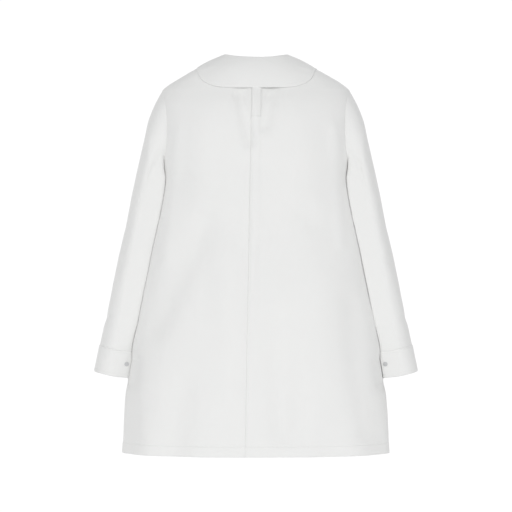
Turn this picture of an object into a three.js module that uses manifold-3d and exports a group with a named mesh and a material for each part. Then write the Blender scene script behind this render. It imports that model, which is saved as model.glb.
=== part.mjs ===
// White laboratory coat: cut panels, set-in sleeves with cuffs, turned-down collar, press studs.
// Millimetres, +Z up, front of the coat towards -Y, wearer's left towards +X.
// The shapes are drawn with the hem at height 0, then moved so that the hanger loop is the origin.

import * as THREE from 'three';
import Module from 'manifold-3d';
import { mergeVertices } from 'three/addons/utils/BufferGeometryUtils.js';

const wasm = await Module();
wasm.setup();

// cloth
const cloth = 1.6;
const facingCloth = 1.0;
const seamGap = 0.4;
const leafClearance = 1;
const layerGap = 0.4;
const lapGap = 1.2;

// body of the coat: height of the neck seam, then the sizes measured down from it
const coatLength = 834;
const shoulderDrop = 60;
const armholeDepth = 179;
const shoulderHalfWidth = 201;
const neckHalfWidth = 85;
const neckHalfDepth = 60;
const chestHalfDepth = 125;
const armholeFullness = 23;
const chestSlope = { low: 4, middle: 10, high: 21, shoulder: 39 };
const shoulderCurve = { low: 0.138, middle: 0.405, high: 0.629 };
const neckSlope = { low: 16, middle: 8, high: 4 };
const hemHalfWidth = 285;
const hemHalfDepth = 150;
const squareness = 2.3;

// fronts
const openingDrop = 206;
const frontOverlap = 20;
const lapHeight = 7;
const lapStart = 84;
const lapEnd = 40;
const lapFadeShare = 0.6;
const hingeFromArmhole = 11;
const hingeFromSide = 60;
const hingeBulge = 7;
const neckInset = 9;
const lapelWidth = 58;
const lapelFoot = 6;
const lapelRise = 8;
const lapelDrop = 52;
const facingWidth = 52;
const facingInset = 1;

// centre back
const backLapTop = 9;
const backLapHem = 23;
const backLapWidth = 30;
const lapStepFrom = 18;
const lapStepWidth = 14;
const pleatTabWidth = 20;
const pleatTabLength = 64;
const pleatTabDrop = 54;
const tabInset = 1;

// sleeves and cuffs
const sleeveSlope = 0.2168;
const capSpread = 16;
const capHeight = 86;
const cuffOuterHeight = 174;
const cuffInnerHeight = 158;
const sleeveGap = 2.6;
const upperArmHalfDepth = 70;
const cuffHalfDepth = 43;
const armForward = 14;
const armholeHalfDepth = 62;
const sleeveTurn = 0.27;
const innerStart = 0.03;
const seamTurn = 0.002;
const cuffDepth = 55;
const cuffExtra = 1.2;
const cuffStudRise = 28;
const cuffStudTurn = 0.333;
const cuffStud = { radius: 6, brim: 1.2, height: 1.9, bevel: 0.4, sunk: 0.6 };

// collar
const rollHalfWidth = 69;
const rollHalfDepth = 54;
const rollSideHeight = 19;
const rollBackHeight = 10;
const collarSideDrop = 11;
const collarBackDrop = 58;
const collarSquareness = 5;
const collarCrowding = 0.75;
const collarPointX = 112;
const collarPointDrop = 48;
const collarThickness = 2.4;
const collarLift = 3.2;
const collarSideRoundness = 3;
const collarBackRoundness = 7;
const collarPointCurve = 1.4;
const collarPointRun = 1.6;
const collarRiseRun = 4;
const collarUpward = 0.8;
const notchShare = 0.8;
const notchClearance = 2;
const standThickness = 1.8;
const standClearance = 1.2;
const standReach = 0.56;

// pockets
const pocketDepth = 10;
const pocketGap = 0.8;
const pocketEase = 32;
const lowerPocket = { inner: 55, width: 135, bottom: 140, height: 180 };
const chestPocketFromArmhole = 149;
const chestPocket = {
  inner: shoulderHalfWidth - chestPocketFromArmhole,
  width: 100,
  bottom: 490,
  height: 120,
};

// press studs
const studCount = 4;
const studPitch = 118;
const firstStudDrop = 40;
const studShank = 1.8;
const studHole = 2.5;
const capRadius = 7.5;
const socketRadius = 5.6;
const recessRadius = 3.3;
const ballRadius = 2.0;
const studSides = 12;
const studClearance = 0.3;
const studDrillLength = 40;
const studCap = { edge: 1.1, crown: 1.7, bevel: 0.4 };
const studSocket = { low: 1.8, recess: 1.2 };
const studBall = { foot: 1, brim: 0.6, disc: 0.7, neck: 0.3, rise: 0.4, top: 0.8 };

// neck details
const loopHalfSpan = 30;
const loopRise = 13;
const loopStandOff = 10;
const loopTape = { width: 3.2, thickness: 1.2 };
const neckFacingDepth = 46;
const neckFacingInset = 2 * cloth + lapGap + 2 * layerGap;
const labelSize = { width: 52, height: 20, drop: 18, thickness: 0.6 };
const neckFacingEnd = 0.5;
const neckFacingDrop = 1;
const loopShoulder = { out: 0.8, back: 0.7, up: 0.6 };
const loopFootDrop = 9;

const underarm = coatLength - shoulderDrop - armholeDepth;
const shoulder = coatLength - shoulderDrop;
const leafTop = coatLength - openingDrop;

const white = { color: 0xe8e8e6, roughness: 0.92, metalness: 0 };
const tape = { color: 0xdededc, roughness: 0.95, metalness: 0 };
const metal = { color: 0x8d9092, roughness: 0.35, metalness: 0.9 };

const coat = new THREE.Group();
const drawn = new THREE.Group();
coat.add(drawn);

function ease(t) {
  const clamped = THREE.MathUtils.clamp(t, 0, 1);
  return clamped * clamped * (3 - 2 * clamped);
}

// A smooth curve through stations [position, value, value...], read at any position.
function through(stations, column) {
  const slope = (i, j) => (stations[j][column] - stations[i][column]) / (stations[j][0] - stations[i][0]);
  const last = stations.length - 1;
  const slopes = stations.map((_, i) => slope(Math.max(i - 1, 0), Math.min(i + 1, last)));
  return (position) => {
    let k = 0;
    while (k < last - 1 && position > stations[k + 1][0]) k += 1;
    const span = stations[k + 1][0] - stations[k][0];
    const t = (position - stations[k][0]) / span;
    const rest = 1 - t;
    return stations[k][column] * (1 + 2 * t) * rest * rest + stations[k + 1][column] * t * t * (3 - 2 * t)
      + slopes[k] * span * t * rest * rest - slopes[k + 1] * span * t * t * rest;
  };
}

// Girth of the coat: each station is a height, a half width and a half depth.
const flare = hemHalfWidth - shoulderHalfWidth;
const deepening = hemHalfDepth - chestHalfDepth;
const shoulderSpan = shoulderHalfWidth - neckHalfWidth;
const chestStation = (share, fullness, slope) => [
  underarm + share * armholeDepth,
  shoulderHalfWidth + fullness * armholeFullness,
  chestHalfDepth - slope,
];
const shoulderStation = (share, curve, slope) => [
  shoulder + share * shoulderDrop,
  shoulderHalfWidth - curve * shoulderSpan,
  neckHalfDepth + slope,
];
const girth = [
  [0, hemHalfWidth, hemHalfDepth],
  [0.26 * underarm, hemHalfWidth - 0.1 * flare, hemHalfDepth - 0.16 * deepening],
  [0.5 * underarm, hemHalfWidth - 0.36 * flare, hemHalfDepth - 0.4 * deepening],
  [0.74 * underarm, hemHalfWidth - 0.65 * flare, hemHalfDepth - 0.7 * deepening],
  [0.92 * underarm, hemHalfWidth - 0.9 * flare, hemHalfDepth - 0.92 * deepening],
  [underarm, shoulderHalfWidth, chestHalfDepth],
  chestStation(0.28, 0.7, chestSlope.low),
  chestStation(0.58, 1, chestSlope.middle),
  chestStation(0.82, 0.7, chestSlope.high),
  chestStation(1, 0, chestSlope.shoulder),
  shoulderStation(0.25, shoulderCurve.low, neckSlope.low),
  shoulderStation(0.57, shoulderCurve.middle, neckSlope.middle),
  shoulderStation(0.8, shoulderCurve.high, neckSlope.high),
  [coatLength, neckHalfWidth, neckHalfDepth],
];
const halfWidth = through(girth, 1);
const halfDepth = through(girth, 2);

const rowHeights = [
  0.13, 0.26, 0.38, 0.5, 0.62, 0.74, 0.84, 0.92, 1,
].map((share) => share * underarm).concat(
  [0.04, 0.13, 0.28, 0.43, 0.58, 0.72, 0.84, 0.94, 1].map((share) => underarm + share * armholeDepth),
  [0.25, 0.57, 0.8].map((share) => shoulder + share * shoulderDrop),
);

function heightsBetween(low, high) {
  const clear = 4;
  return [low, ...rowHeights.filter((z) => z > low + clear && z < high - clear), high];
}

function bodyPoint(angle, z) {
  const power = 2 / squareness;
  const across = Math.cos(angle);
  const along = Math.sin(angle);
  return new THREE.Vector3(
    halfWidth(z) * Math.sign(across) * Math.abs(across) ** power,
    halfDepth(z) * Math.sign(along) * Math.abs(along) ** power,
    z,
  );
}

function bodyNormal(angle, z) {
  const step = 0.004;
  const rise = 0.5;
  const around = bodyPoint(angle + step, z).sub(bodyPoint(angle - step, z));
  const up = bodyPoint(angle, z + rise).sub(bodyPoint(angle, z - rise));
  return around.cross(up).normalize();
}

function offBody(angle, z, distance) {
  return bodyPoint(angle, z).addScaledVector(bodyNormal(angle, z), distance);
}

// Angle round the coat at which the surface has this x: positive behind, negative in front.
function angleAt(x, z, side) {
  const share = Math.min(Math.abs(x) / halfWidth(z), 1);
  return side * Math.acos(Math.sign(x) * share ** (squareness / 2));
}

// Angle of the edge at the side: the armhole where there is one, the side or shoulder seam elsewhere.
function edgeAngle(z) {
  const nudge = 0.0012;
  if (z <= underarm || z >= shoulder) return nudge;
  return Math.max(angleAt(shoulderHalfWidth, z, 1), nudge);
}

function addMesh(name, geometry, look) {
  const material = new THREE.MeshStandardMaterial(look);
  const mesh = new THREE.Mesh(geometry, material);
  mesh.name = name;
  drawn.add(mesh);
  return mesh;
}

function signedVolume(points, faces) {
  let volume = 0;
  const edge = new THREE.Vector3();
  for (const [a, b, c] of faces) volume += points[a].dot(edge.crossVectors(points[b], points[c]));
  return volume;
}

// A closed sheet between two surfaces given on a grid. It wraps where its columns close a ring.
function sheet(outer, inner, columns, rows, wraps = false) {
  const across = wraps ? columns : columns + 1;
  const points = [];
  for (const surface of [outer, inner]) {
    for (let j = 0; j <= rows; j += 1) {
      for (let i = 0; i < across; i += 1) points.push(surface(i / columns, j));
    }
  }
  const behind = across * (rows + 1);
  const at = (i, j) => j * across + (i % across);
  const faces = [];
  const quad = (a, b, c, d) => faces.push([a, b, c], [a, c, d]);
  for (let j = 0; j < rows; j += 1) {
    for (let i = 0; i < columns; i += 1) {
      quad(at(i, j), at(i + 1, j), at(i + 1, j + 1), at(i, j + 1));
      quad(behind + at(i, j), behind + at(i, j + 1), behind + at(i + 1, j + 1), behind + at(i + 1, j));
    }
  }
  for (let i = 0; i < columns; i += 1) {
    quad(at(i, 0), behind + at(i, 0), behind + at(i + 1, 0), at(i + 1, 0));
    quad(at(i, rows), at(i + 1, rows), behind + at(i + 1, rows), behind + at(i, rows));
  }
  if (!wraps) {
    for (let j = 0; j < rows; j += 1) {
      quad(at(0, j), at(0, j + 1), behind + at(0, j + 1), behind + at(0, j));
      quad(at(columns, j), behind + at(columns, j), behind + at(columns, j + 1), at(columns, j + 1));
    }
  }
  if (signedVolume(points, faces) < 0) faces.forEach((face) => face.reverse());
  const geometry = new THREE.BufferGeometry().setFromPoints(points);
  geometry.setIndex(faces.flat());
  return geometry;
}

// A cloth panel on the body between two edges, each given as an angle at every height.
function panel({ from, to, low, high, lift = () => 0, thickness = cloth, columns = 8 }) {
  const heights = heightsBetween(low, high);
  const place = (depth) => (u, j) => {
    const z = heights[j];
    const angle = THREE.MathUtils.lerp(from(z), to(z), u);
    return offBody(angle, z, lift(bodyPoint(angle, z).x, z, u) - depth);
  };
  return sheet(place(0), place(thickness), columns, heights.length - 1);
}

function solidOf(geometry) {
  const plain = geometry.clone();
  plain.deleteAttribute('normal');
  plain.deleteAttribute('uv');
  const merged = mergeVertices(plain, 1e-4);
  return new wasm.Manifold(new wasm.Mesh({
    numProp: 3,
    vertProperties: new Float32Array(merged.attributes.position.array),
    triVerts: new Uint32Array(merged.index.array),
  }));
}

function geometryOf(solid) {
  const mesh = solid.getMesh();
  const geometry = new THREE.BufferGeometry();
  geometry.setAttribute('position', new THREE.BufferAttribute(new Float32Array(mesh.vertProperties), 3));
  geometry.setIndex(new THREE.BufferAttribute(new Uint32Array(mesh.triVerts), 1));
  return geometry;
}

// Fronts: the wearer's left one laps over the right one.
function lapLift(x, z) {
  const fade = 1 - ease((z - leafTop) / (lapFadeShare * openingDrop));
  return lapHeight * ease((lapStart - x) / (lapStart - lapEnd)) * fade;
}

const flat = () => 0;
const frontSides = {
  left: { mirror: 1, lift: lapLift },
  right: { mirror: -1, lift: flat },
};

function hingeAngle(z, mirror, shift) {
  const top = shoulderHalfWidth - hingeFromArmhole;
  const line = THREE.MathUtils.lerp(hemHalfWidth - hingeFromSide, top, z / leafTop);
  const bulge = hingeBulge * Math.sin(Math.PI * Math.min(z / leafTop, 1));
  return angleAt(mirror * (line + bulge + shift), z, -1);
}

function openingX(z) {
  const share = (z - leafTop) / openingDrop;
  return THREE.MathUtils.lerp(-frontOverlap, neckHalfWidth - neckInset, share);
}

function sideEdge(z, mirror) {
  return mirror > 0 ? -edgeAngle(z) : edgeAngle(z) - Math.PI;
}

const studHeights = Array.from({ length: studCount }, (_, k) => leafTop - firstStudDrop - k * studPitch);

// Frame of a press stud: its axis stands square to the cloth at the centre front.
function studPlace(z) {
  const middle = -Math.PI / 2;
  const outward = bodyNormal(middle, z);
  const turn = new THREE.Quaternion().setFromUnitVectors(new THREE.Vector3(0, 1, 0), outward);
  return { position: bodyPoint(middle, z), quaternion: turn };
}

function withStudHoles(geometry) {
  let solid = solidOf(geometry);
  for (const z of studHeights) {
    const drill = new THREE.CylinderGeometry(studHole, studHole, studDrillLength, studSides);
    const { position, quaternion } = studPlace(z);
    drill.applyQuaternion(quaternion);
    drill.translate(position.x, position.y, position.z);
    solid = solid.subtract(solidOf(drill));
  }
  return geometryOf(solid);
}

function addFront(side) {
  const { mirror, lift } = frontSides[side];
  const x = (value) => mirror * value;
  const half = seamGap / 2;

  addMesh(`front_${side}_side`, panel({
    from: (z) => sideEdge(z, mirror),
    to: (z) => hingeAngle(z, mirror, half),
    low: 0,
    high: leafTop - half,
    columns: 5,
  }), white);

  addMesh(`front_${side}_chest`, panel({
    from: (z) => sideEdge(z, mirror),
    to: (z) => angleAt(x(openingX(z)), z, -1),
    low: leafTop + half,
    high: coatLength,
    lift,
    columns: 10,
  }), white);

  const leaf = panel({
    from: (z) => hingeAngle(z, mirror, -half),
    to: (z) => angleAt(x(-frontOverlap), z, -1),
    low: 0,
    high: leafTop - leafClearance,
    lift,
    columns: 14,
  });
  addMesh(`front_${side}_leaf`, withStudHoles(leaf), white);

  const facing = panel({
    from: (z) => angleAt(x(facingWidth - frontOverlap), z, -1),
    to: (z) => angleAt(x(facingInset - frontOverlap), z, -1),
    low: facingInset,
    high: leafTop - 2 * leafClearance,
    lift: (at, z) => lift(at, z) - cloth - layerGap,
    thickness: facingCloth,
    columns: 6,
  });
  addMesh(`front_${side}_facing`, withStudHoles(facing), white);

  const lapelLow = leafTop + lapelRise;
  const lapelHigh = coatLength - lapelDrop;
  const lapelReach = (z) => THREE.MathUtils.mapLinear(z, lapelLow, lapelHigh, lapelFoot, lapelWidth);
  addMesh(`lapel_${side}`, panel({
    from: (z) => angleAt(x(openingX(z) + lapelReach(z)), z, -1),
    to: (z) => angleAt(x(openingX(z) + seamGap), z, -1),
    low: lapelLow,
    high: lapelHigh,
    lift: (at, z) => lift(at, z) + layerGap + cloth,
    columns: 5,
  }), white);
}

// Patch pocket: its sides and bottom lie on the front, its top stands open.
function addPocket(name, side, { inner, width, bottom, height }) {
  const { mirror, lift } = frontSides[side];
  const rows = 8;
  const columns = 10;
  const place = (depth) => (u, j) => {
    const v = j / rows;
    const z = bottom + height * v;
    const fromSide = Math.min(u, 1 - u) * width;
    const bulge = pocketDepth * ease(fromSide / pocketEase) * ease((v * height) / pocketEase);
    const x = mirror * (inner + width * u);
    const angle = angleAt(x, z, -1);
    return offBody(angle, z, lift(x, z) + pocketGap + cloth + bulge - depth);
  };
  addMesh(name, sheet(place(0), place(cloth), columns, rows), white);
}

// Press studs: the cap and socket are riveted through the left front, the ball through the right one.
function lathe(profile) {
  return new THREE.LatheGeometry(profile.map(([r, y]) => new THREE.Vector2(r, y)), studSides);
}

function addStuds() {
  const clear = studClearance;
  const leafInside = -(cloth + layerGap + facingCloth);
  const outerFace = lapHeight;
  const socketTop = lapHeight + leafInside - clear;
  const socketLow = studSocket.low;
  const recessTop = socketLow + studSocket.recess;
  const cap = lathe([
    [0, recessTop],
    [recessRadius, recessTop],
    [recessRadius, socketLow],
    [socketRadius, socketLow],
    [socketRadius, socketTop],
    [studShank, socketTop],
    [studShank, outerFace + clear],
    [capRadius, outerFace + clear],
    [capRadius - studCap.bevel, outerFace + clear + studCap.edge],
    [0, outerFace + clear + studCap.crown],
  ]);
  const ball = lathe([
    [0, leafInside - clear - studBall.foot],
    [socketRadius, leafInside - clear - studBall.foot],
    [socketRadius, leafInside - clear],
    [studShank, leafInside - clear],
    [studShank, clear],
    [socketRadius - studBall.brim, clear],
    [socketRadius - studBall.brim, clear + studBall.disc],
    [ballRadius - studBall.neck, clear + studBall.disc],
    [ballRadius, socketLow + studBall.rise],
    [ballRadius - studBall.neck, socketLow + studBall.top],
    [0, socketLow + studBall.top],
  ]);
  studHeights.forEach((z, k) => {
    for (const [name, shape] of [['stud_cap', cap], ['stud_ball', ball]]) {
      const mesh = addMesh(`${name}_${k + 1}`, shape.clone(), metal);
      const { position, quaternion } = studPlace(z);
      mesh.position.copy(position);
      mesh.quaternion.copy(quaternion);
    }
  });
}

// Back: the right panel laps over the left one down the centre, open as a vent near the hem.
function backLapX(z) {
  return THREE.MathUtils.lerp(backLapHem, backLapTop, Math.min(z / shoulder, 1));
}

function addBack() {
  const under = cloth + lapGap;
  addMesh('back_right_panel', panel({
    from: (z) => Math.PI - edgeAngle(z),
    to: (z) => angleAt(backLapX(z), z, 1),
    low: 0,
    high: coatLength,
    columns: 14,
  }), white);
  addMesh('back_left_panel', panel({
    from: (z) => edgeAngle(z),
    to: (z) => angleAt(backLapX(z) - backLapWidth, z, 1),
    low: 0,
    high: coatLength,
    lift: (x, z) => -under * ease((backLapX(z) + lapStepFrom - x) / lapStepWidth),
    columns: 18,
  }), white);

  const tabHigh = coatLength - pleatTabDrop;
  const middle = backLapX(tabHigh) - pleatTabWidth / 2;
  addMesh('back_pleat_tab', panel({
    from: (z) => angleAt(middle - pleatTabWidth / 2, z, 1),
    to: (z) => angleAt(middle + pleatTabWidth / 2 - tabInset, z, 1),
    low: tabHigh - pleatTabLength,
    high: tabHigh,
    lift: () => layerGap + facingCloth,
    thickness: facingCloth,
    columns: 3,
  }), white);
}

// Sleeve rings: each one runs from a point on the outer edge to a point on the inner edge.
// The upper and under sleeve halves meet in seams down the front and back of the arm.
const outerEdge = (z) => {
  const cap = Math.max((z - (shoulder - capHeight)) / capHeight, 0);
  return shoulderHalfWidth + seamGap + capSpread + sleeveSlope * (shoulder - z) - capSpread * cap ** 3;
};
const seamShare = 1 - cuffDepth / (shoulder - cuffOuterHeight);

function innerShare(s) {
  if (s < sleeveTurn) return (innerStart * s) / sleeveTurn;
  return THREE.MathUtils.mapLinear(s, sleeveTurn, 1, innerStart, 1);
}

const armDepth = through([
  [0, armholeHalfDepth],
  [0.25, upperArmHalfDepth],
  [0.55, 0.92 * upperArmHalfDepth],
  [0.8, 0.5 * (upperArmHalfDepth + cuffHalfDepth)],
  [1, cuffHalfDepth],
], 1);

function armholeDepthAt(z) {
  const share = Math.min(shoulderHalfWidth / halfWidth(z), 1) ** squareness;
  return halfDepth(z) * (1 - share) ** (1 / squareness);
}

function sleevePoint(u, s, inset) {
  const outerZ = THREE.MathUtils.lerp(shoulder, cuffOuterHeight, s);
  const innerZ = THREE.MathUtils.lerp(underarm, cuffInnerHeight, innerShare(s));
  const gap = THREE.MathUtils.lerp(seamGap, sleeveGap, ease(s / 0.1));
  const outer = new THREE.Vector2(outerEdge(outerZ), outerZ);
  const inner = new THREE.Vector2(halfWidth(innerZ) + gap, innerZ);
  const middle = outer.clone().add(inner).multiplyScalar(0.5);
  const reach = outer.clone().sub(inner).multiplyScalar(0.5);
  const half = reach.length();
  const phase = 2 * Math.PI * u;
  const place = middle.clone().addScaledVector(reach, (Math.cos(phase) * (half - inset)) / half);
  const round = armDepth(s) * Math.sin(phase);
  const fitted = armholeDepthAt(middle.y + Math.cos(phase) * half) * Math.sign(Math.sin(phase));
  const wide = THREE.MathUtils.lerp(fitted, round, ease(s / sleeveTurn));
  const depth = wide - Math.sin(phase) * inset - armForward * ease(s);
  return new THREE.Vector3(place.x, depth, place.y);
}

function addSleeve(side) {
  const mirror = side === 'left' ? 1 : -1;
  const columns = 20;
  const shares = [0, 0.03, 0.07, 0.12, 0.18, 0.24, 0.31, 0.4, 0.5, 0.6, 0.7, 0.8];
  shares.push(seamShare - 0.001);
  const facing = (point) => new THREE.Vector3(mirror * point.x, point.y, point.z);
  for (const [name, middle] of [['upper', 0], ['under', 0.5]]) {
    const half = 0.25 - seamTurn / 2;
    const turn = (u) => THREE.MathUtils.lerp(middle - half, middle + half, u);
    addMesh(`sleeve_${side}_${name}`, sheet(
      (u, j) => facing(sleevePoint(turn(u), shares[j], 0)),
      (u, j) => facing(sleevePoint(turn(u), shares[j], cloth)),
      columns / 2,
      shares.length - 1,
    ), white);
  }

  const cuffRows = 3;
  const cuffAt = (j) => THREE.MathUtils.lerp(seamShare, 1, j / cuffRows);
  addMesh(`cuff_${side}`, sheet(
    (u, j) => facing(sleevePoint(u, cuffAt(j), -cuffExtra)),
    (u, j) => facing(sleevePoint(u, cuffAt(j), cloth)),
    columns,
    cuffRows,
    true,
  ), white);

  // Press stud cap on the back of the cuff, near its inner edge.
  const studShare = 1 - cuffStudRise / (shoulder - cuffOuterHeight);
  const step = 0.01;
  const seat = sleevePoint(cuffStudTurn, studShare, -cuffExtra);
  const around = sleevePoint(cuffStudTurn + step, studShare, -cuffExtra).sub(seat);
  const down = sleevePoint(cuffStudTurn, studShare + step, -cuffExtra).sub(seat);
  const outward = around.cross(down).normalize();
  if (outward.y < 0) outward.negate();
  const stud = addMesh(`cuff_stud_${side}`, lathe([
    [0, 0],
    [cuffStud.radius, 0],
    [cuffStud.radius - cuffStud.bevel, cuffStud.brim],
    [0, cuffStud.height],
  ]), metal);
  outward.x *= mirror;
  stud.position.copy(facing(seat)).addScaledVector(outward, cuffStud.sunk);
  stud.quaternion.setFromUnitVectors(new THREE.Vector3(0, 1, 0), outward);
}

// Collar: q runs from -1 at the right notch, through 0 at the centre back, to 1 at the left notch.
function neckAngle(q) {
  const turned = Math.PI / 2 - Math.PI * Math.abs(q);
  return q >= 0 ? turned : Math.PI - turned;
}

function rollLine(q) {
  const reach = Math.abs(q);
  const mirror = Math.sign(q) || 1;
  const angle = neckAngle(Math.min(reach, 0.5));
  const power = 2 / squareness;
  const sine = Math.sin(angle);
  const back = new THREE.Vector3(
    rollHalfWidth * Math.max(Math.cos(angle), 0) ** power,
    rollHalfDepth * Math.max(sine, 0) ** power,
    coatLength + THREE.MathUtils.lerp(rollSideHeight, rollBackHeight, sine * sine),
  );
  const front = ease(2 * reach - 1);
  const notchZ = coatLength - notchShare * lapelDrop;
  const notchRise = collarLift + collarThickness + notchClearance;
  const notch = offBody(angleAt(openingX(notchZ), notchZ, -1), notchZ, notchRise);
  back.lerp(notch, front);
  back.x *= mirror;
  return back;
}

function collarEdge(q) {
  const reach = Math.abs(q);
  const mirror = Math.sign(q) || 1;
  const front = Math.max(2 * reach - 1, 0);
  const share = Math.max(Math.cos(neckAngle(Math.min(reach, 0.5))), 0) ** (2 / squareness);
  const behind = Math.sqrt(1 - share ** collarSquareness);
  const sideZ = coatLength - collarSideDrop;
  const z = sideZ - (collarBackDrop - collarSideDrop) * behind - collarPointDrop * front ** collarPointCurve;
  const angle = front > 0
    ? angleAt(THREE.MathUtils.lerp(halfWidth(z) - 0.01, collarPointX, ease(front * collarPointRun)), z, -1)
    : angleAt(halfWidth(sideZ) * share, z, 1);
  const edge = offBody(angle, z, collarLift + collarThickness);
  edge.x *= mirror;
  return edge;
}

// Height of the shoulder surface above a point of the plan, or of the neck seam inside the neck.
function shoulderHeight(x, y) {
  let low = shoulder - armholeDepth / 2;
  let high = coatLength;
  for (let k = 0; k < 30; k += 1) {
    const z = (low + high) / 2;
    const across = (Math.abs(x) / halfWidth(z)) ** squareness;
    const along = (Math.abs(y) / halfDepth(z)) ** squareness;
    if (across + along > 1) high = z;
    else low = z;
  }
  return low;
}

function addCollar() {
  const columns = 44;
  const rows = 6;
  const upward = new THREE.Vector3(0, 0, collarUpward);
  const spread = (u) => {
    const s = THREE.MathUtils.lerp(-1, 1, u);
    return s + (collarCrowding * Math.sin(2 * Math.PI * s)) / (2 * Math.PI);
  };
  const at = (q, v) => {
    const roll = rollLine(q);
    const edge = collarEdge(q);
    const away = roll.clone().setZ(0).normalize().add(upward).normalize();
    const behind = Math.max(Math.sin(neckAngle(q)), 0);
    const round = THREE.MathUtils.lerp(collarSideRoundness, collarBackRoundness, behind);
    const point = roll.lerp(edge, v).addScaledVector(away, round * Math.sin(Math.PI * v));
    const front = Math.max(2 * Math.abs(q) - 1, 0);
    const clear = (collarLift + collarThickness) * (1 + ease(front * collarRiseRun));
    point.z = Math.max(point.z, shoulderHeight(point.x, point.y) + clear);
    return point;
  };
  const across = (q, v) => {
    const step = 0.01;
    const along = at(Math.min(q + step, 1), v).sub(at(Math.max(q - step, -1), v));
    const down = at(q, Math.min(v + step, 1)).sub(at(q, Math.max(v - step, 0)));
    const out = along.cross(down).normalize();
    return out.z < 0 ? out.negate() : out;
  };
  addMesh('collar_fall', sheet(
    (u, j) => at(spread(u), j / rows),
    (u, j) => at(spread(u), j / rows).addScaledVector(across(spread(u), j / rows), -collarThickness),
    columns,
    rows,
  ), white);

  const standAt = (inset) => (u, j) => {
    const q = THREE.MathUtils.lerp(-standReach, standReach, u);
    const foot = bodyPoint(neckAngle(q), coatLength).add(new THREE.Vector3(0, 0, seamGap));
    const top = rollLine(q);
    top.z -= collarThickness + standClearance;
    const point = foot.lerp(top, j / 2);
    const inward = new THREE.Vector3(-point.x, -point.y, 0).normalize();
    return point.addScaledVector(inward, inset + (j > 0 ? layerGap : 0));
  };
  addMesh('collar_stand', sheet(standAt(0), standAt(standThickness), 24, 2), white);
}

// Back neck: facing, blank label and hanger loop, all inside the coat.
function addNeckDetails() {
  const facingHigh = coatLength - neckFacingDrop;
  addMesh('back_neck_facing', panel({
    from: () => neckFacingEnd,
    to: () => Math.PI - neckFacingEnd,
    low: coatLength - neckFacingDepth,
    high: facingHigh,
    lift: () => -neckFacingInset,
    thickness: facingCloth,
    columns: 12,
  }), white);

  const faceIn = -neckFacingInset - facingCloth;
  const labelHigh = coatLength - labelSize.drop;
  addMesh('neck_label', panel({
    from: (z) => angleAt(labelSize.width / 2, z, 1),
    to: (z) => angleAt(-labelSize.width / 2, z, 1),
    low: labelHigh - labelSize.height,
    high: labelHigh,
    lift: () => faceIn - layerGap,
    thickness: labelSize.thickness,
    columns: 4,
  }), tape);

  const footZ = coatLength - loopFootDrop;
  const foot = offBody(angleAt(loopHalfSpan, footZ, 1), footZ, faceIn - layerGap - loopTape.width / 2);
  const peak = new THREE.Vector3(0, foot.y - loopStandOff, footZ + loopRise);
  const bendX = loopShoulder.out * loopHalfSpan;
  const bendY = foot.y - loopShoulder.back * loopStandOff;
  const bendZ = footZ + loopShoulder.up * loopRise;
  const path = new THREE.CatmullRomCurve3([
    foot.clone(),
    new THREE.Vector3(bendX, bendY, bendZ),
    peak,
    new THREE.Vector3(-bendX, bendY, bendZ),
    foot.clone().setX(-foot.x),
  ]);
  const { width, thickness } = loopTape;
  const section = new THREE.Shape([
    new THREE.Vector2(-thickness / 2, -width / 2),
    new THREE.Vector2(thickness / 2, -width / 2),
    new THREE.Vector2(thickness / 2, width / 2),
    new THREE.Vector2(-thickness / 2, width / 2),
  ]);
  addMesh('hanger_loop', new THREE.ExtrudeGeometry(section, { steps: 18, extrudePath: path }), tape);
  return peak;
}

addBack();
addFront('left');
addFront('right');
addPocket('chest_pocket', 'left', chestPocket);
addPocket('lower_pocket_left', 'left', lowerPocket);
addPocket('lower_pocket_right', 'right', lowerPocket);
addStuds();
addSleeve('left');
addSleeve('right');
addCollar();
const origin = addNeckDetails();
drawn.position.set(-origin.x, -origin.y, -origin.z);

export default coat;
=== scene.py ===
import math
import bmesh
import bpy
import numpy as np
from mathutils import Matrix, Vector


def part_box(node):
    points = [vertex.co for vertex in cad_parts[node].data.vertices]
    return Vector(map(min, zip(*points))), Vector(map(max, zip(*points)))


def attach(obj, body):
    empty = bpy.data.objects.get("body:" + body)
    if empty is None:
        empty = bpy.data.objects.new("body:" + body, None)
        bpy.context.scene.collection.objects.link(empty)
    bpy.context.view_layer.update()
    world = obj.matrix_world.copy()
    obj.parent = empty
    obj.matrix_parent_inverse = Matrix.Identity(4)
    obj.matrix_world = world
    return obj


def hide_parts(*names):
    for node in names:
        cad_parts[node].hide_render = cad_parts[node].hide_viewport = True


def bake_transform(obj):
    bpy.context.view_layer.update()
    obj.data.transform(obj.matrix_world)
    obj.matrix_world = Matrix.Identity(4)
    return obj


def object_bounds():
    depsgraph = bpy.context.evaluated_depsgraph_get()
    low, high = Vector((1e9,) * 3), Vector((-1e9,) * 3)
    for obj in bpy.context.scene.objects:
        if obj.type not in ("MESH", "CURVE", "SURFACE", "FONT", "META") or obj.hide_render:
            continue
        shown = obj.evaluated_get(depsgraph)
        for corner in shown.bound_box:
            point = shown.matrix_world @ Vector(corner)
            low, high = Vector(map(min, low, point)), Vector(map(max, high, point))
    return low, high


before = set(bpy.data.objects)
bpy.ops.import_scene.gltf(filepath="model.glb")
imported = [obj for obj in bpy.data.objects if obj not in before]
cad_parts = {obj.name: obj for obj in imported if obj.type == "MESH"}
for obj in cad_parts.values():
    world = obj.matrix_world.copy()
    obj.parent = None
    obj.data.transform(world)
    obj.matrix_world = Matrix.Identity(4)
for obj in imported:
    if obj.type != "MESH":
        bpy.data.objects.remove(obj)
cadLow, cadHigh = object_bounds()
mm = 0.001

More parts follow.
